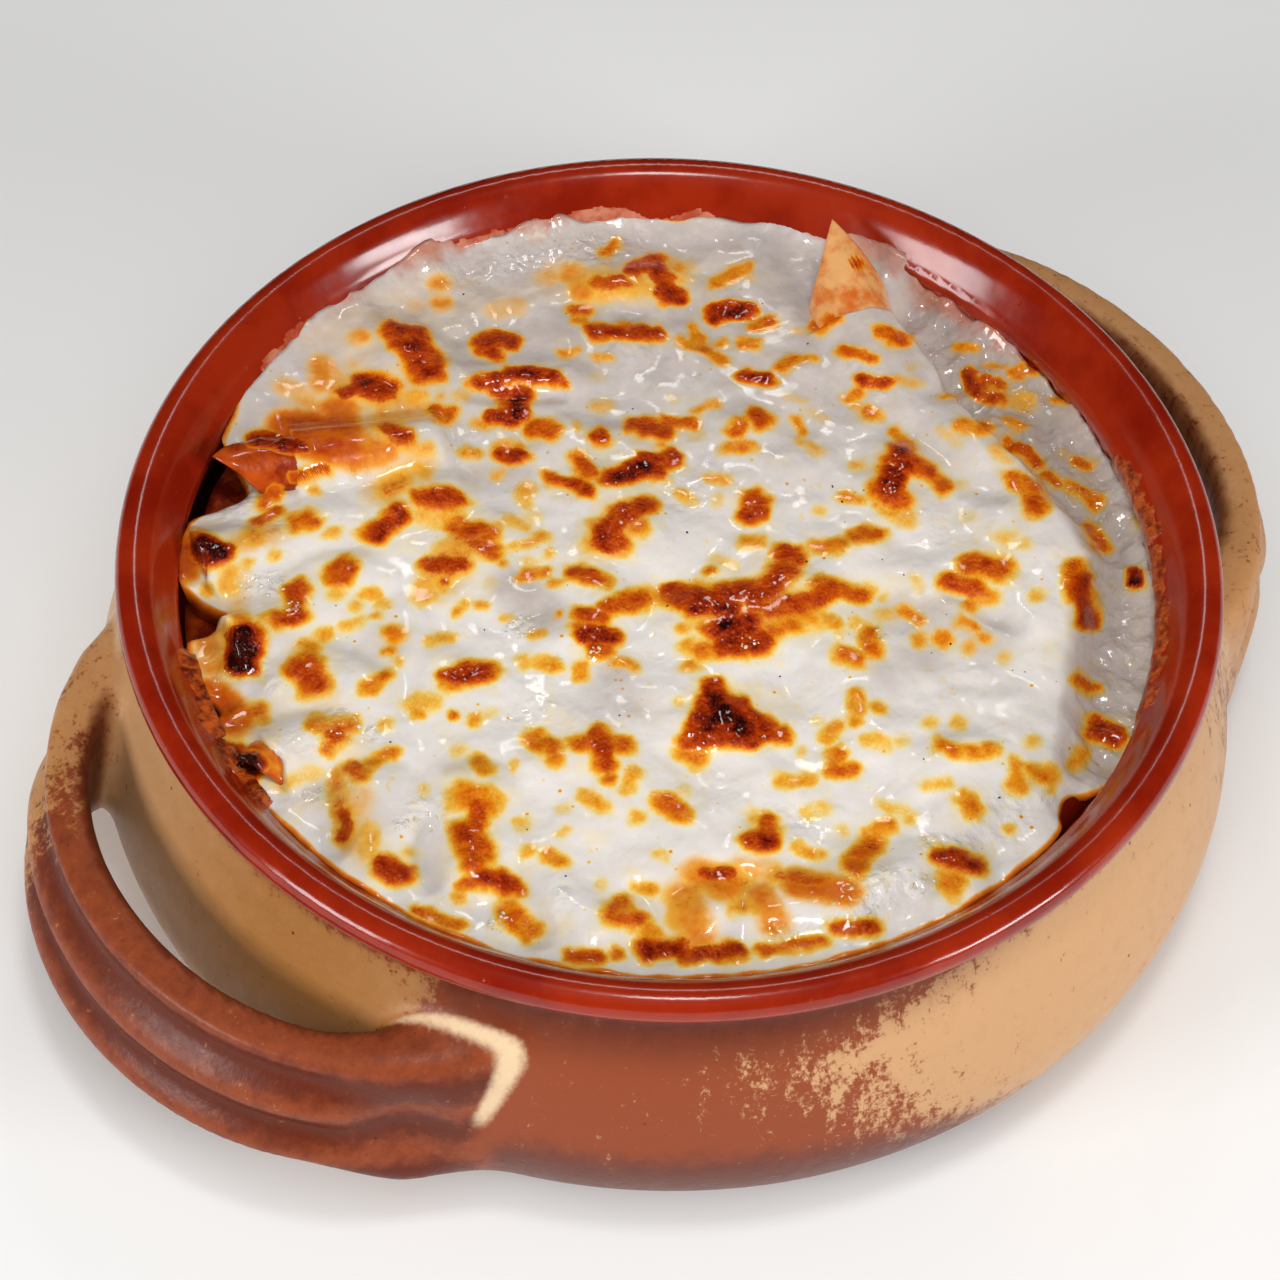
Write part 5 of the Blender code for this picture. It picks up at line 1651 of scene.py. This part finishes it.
@dataclass(frozen=True)
class Studio:
    """Pale floor, the camera, and soft boxes: low ones on the left and in front, the others higher up."""

    floor_half: float = 1600.0
    lens: float = 95.48
    camera_place: tuple[float, float, float] = (-207.51, -263.73, 452.57)
    elevation: float = 51.6
    azimuth: float = -37.5
    roll: float = 2.62
    box_distance: float = 900.0
    aim_height: float = 45.0
    boxes: tuple[SoftBox, ...] = (
        SoftBox(178.0, 18.0, 300.0, 300.0, 4.0), SoftBox(-68.0, 18.0, 340.0, 150.0, 3.9),
        SoftBox(-110.0, 80.0, 140.0, 140.0, 1.5), SoftBox(52.5, 50.0, 90.0, 90.0, 0.25),
        SoftBox(-127.5, 60.0, 600.0, 600.0, 3.6, mirrored=False))
    sky: float = 0.16

    def build(self) -> None:
        """Make the floor, the lights and the camera."""
        bm = bmesh.new()
        bmesh.ops.create_grid(bm, x_segments=8, y_segments=8, size=self.floor_half * MM)
        bmesh.ops.translate(bm, verts=bm.verts, vec=(0.0, 0.0, -0.05 * MM))
        mesh = mesh_from(bm, "studio_floor")
        floor = placed("studio_floor", mesh)
        paint = Paint("studio_floor", Roughness=0.85)
        paper = paint.mix(paint.noise(400.0, 1.0), srgb(243, 242, 240), srgb(238, 238, 237))
        paint.feed("Base Color", paper)
        mesh.materials.append(paint.material)
        for number, box in enumerate(self.boxes, 1):
            light = bpy.data.lights.new(f"soft_box_{number}", "AREA")
            light.shape, light.energy = "RECTANGLE", box.power
            light.size, light.size_y = box.width * MM, box.height * MM
            lamp = placed(light.name, light)
            turn, rise = math.radians(box.bearing), math.radians(box.rise)
            flat = math.cos(rise)
            away = Vector((math.cos(turn) * flat, math.sin(turn) * flat, math.sin(rise)))
            lamp.location = away * self.box_distance * MM + Vector((0.0, 0.0, self.aim_height)) * MM
            lamp.rotation_euler = away.to_track_quat("Z", "Y").to_euler()
            lamp.visible_glossy = box.mirrored
        world = bpy.data.worlds.new("studio")
        world.use_nodes = True
        sky = world.node_tree.nodes["Background"]
        sky.inputs["Color"].default_value = (0.98, 0.99, 1.0, 1.0)
        sky.inputs["Strength"].default_value = self.sky
        world.cycles_visibility.glossy = False
        bpy.context.scene.world = world
        bpy.context.scene.view_settings.view_transform = "Standard"
        self.aim_camera()

    def aim_camera(self) -> None:
        """Place the camera at its angle over the dish."""
        data = bpy.data.cameras.new("camera")
        data.lens, data.sensor_width = self.lens, 36.0
        data.clip_start, data.clip_end = 0.01, 20.0
        camera = placed("camera", data)
        rise, turn, roll = (math.radians(angle) for angle in (self.elevation, self.azimuth, self.roll))
        back = Vector((math.sin(turn) * math.cos(rise), -math.cos(turn) * math.cos(rise), math.sin(rise)))
        right = Vector((math.cos(turn), math.sin(turn), 0.0))
        up = back.cross(right)
        across = right * math.cos(roll) + up * math.sin(roll)
        upward = up * math.cos(roll) - right * math.sin(roll)
        matrix = Matrix((across, upward, back)).transposed().to_4x4()
        matrix.translation = Vector(self.camera_place) * MM
        camera.matrix_world = matrix
        bpy.context.scene.camera = camera


def surface_of(pieces: Sequence[bpy.types.Object]) -> BVHTree:
    """Search tree over the meshes of pieces that stand at the origin."""
    bm = bmesh.new()
    for piece in pieces:
        bm.from_mesh(piece.data)
    tree = BVHTree.FromBMesh(bm)
    bm.free()
    return tree


def main() -> None:
    """Build the dish, the food in it and the studio."""
    logging.basicConfig(level=logging.INFO, format="%(name)s %(message)s")
    Studio().build()
    dish = StonewareDish()
    dish.build()
    cheese = MeltedCheese().build(dish)
    tubes = [tube.build() for tube in PENNE]
    SauceBed().build()
    for film in WALL_FILMS:
        film.build(dish)
    ground = surface_of([cheese, *tubes])
    for bits in SCATTERED:
        bits.build(ground)


if __name__ == "__main__":
    main()
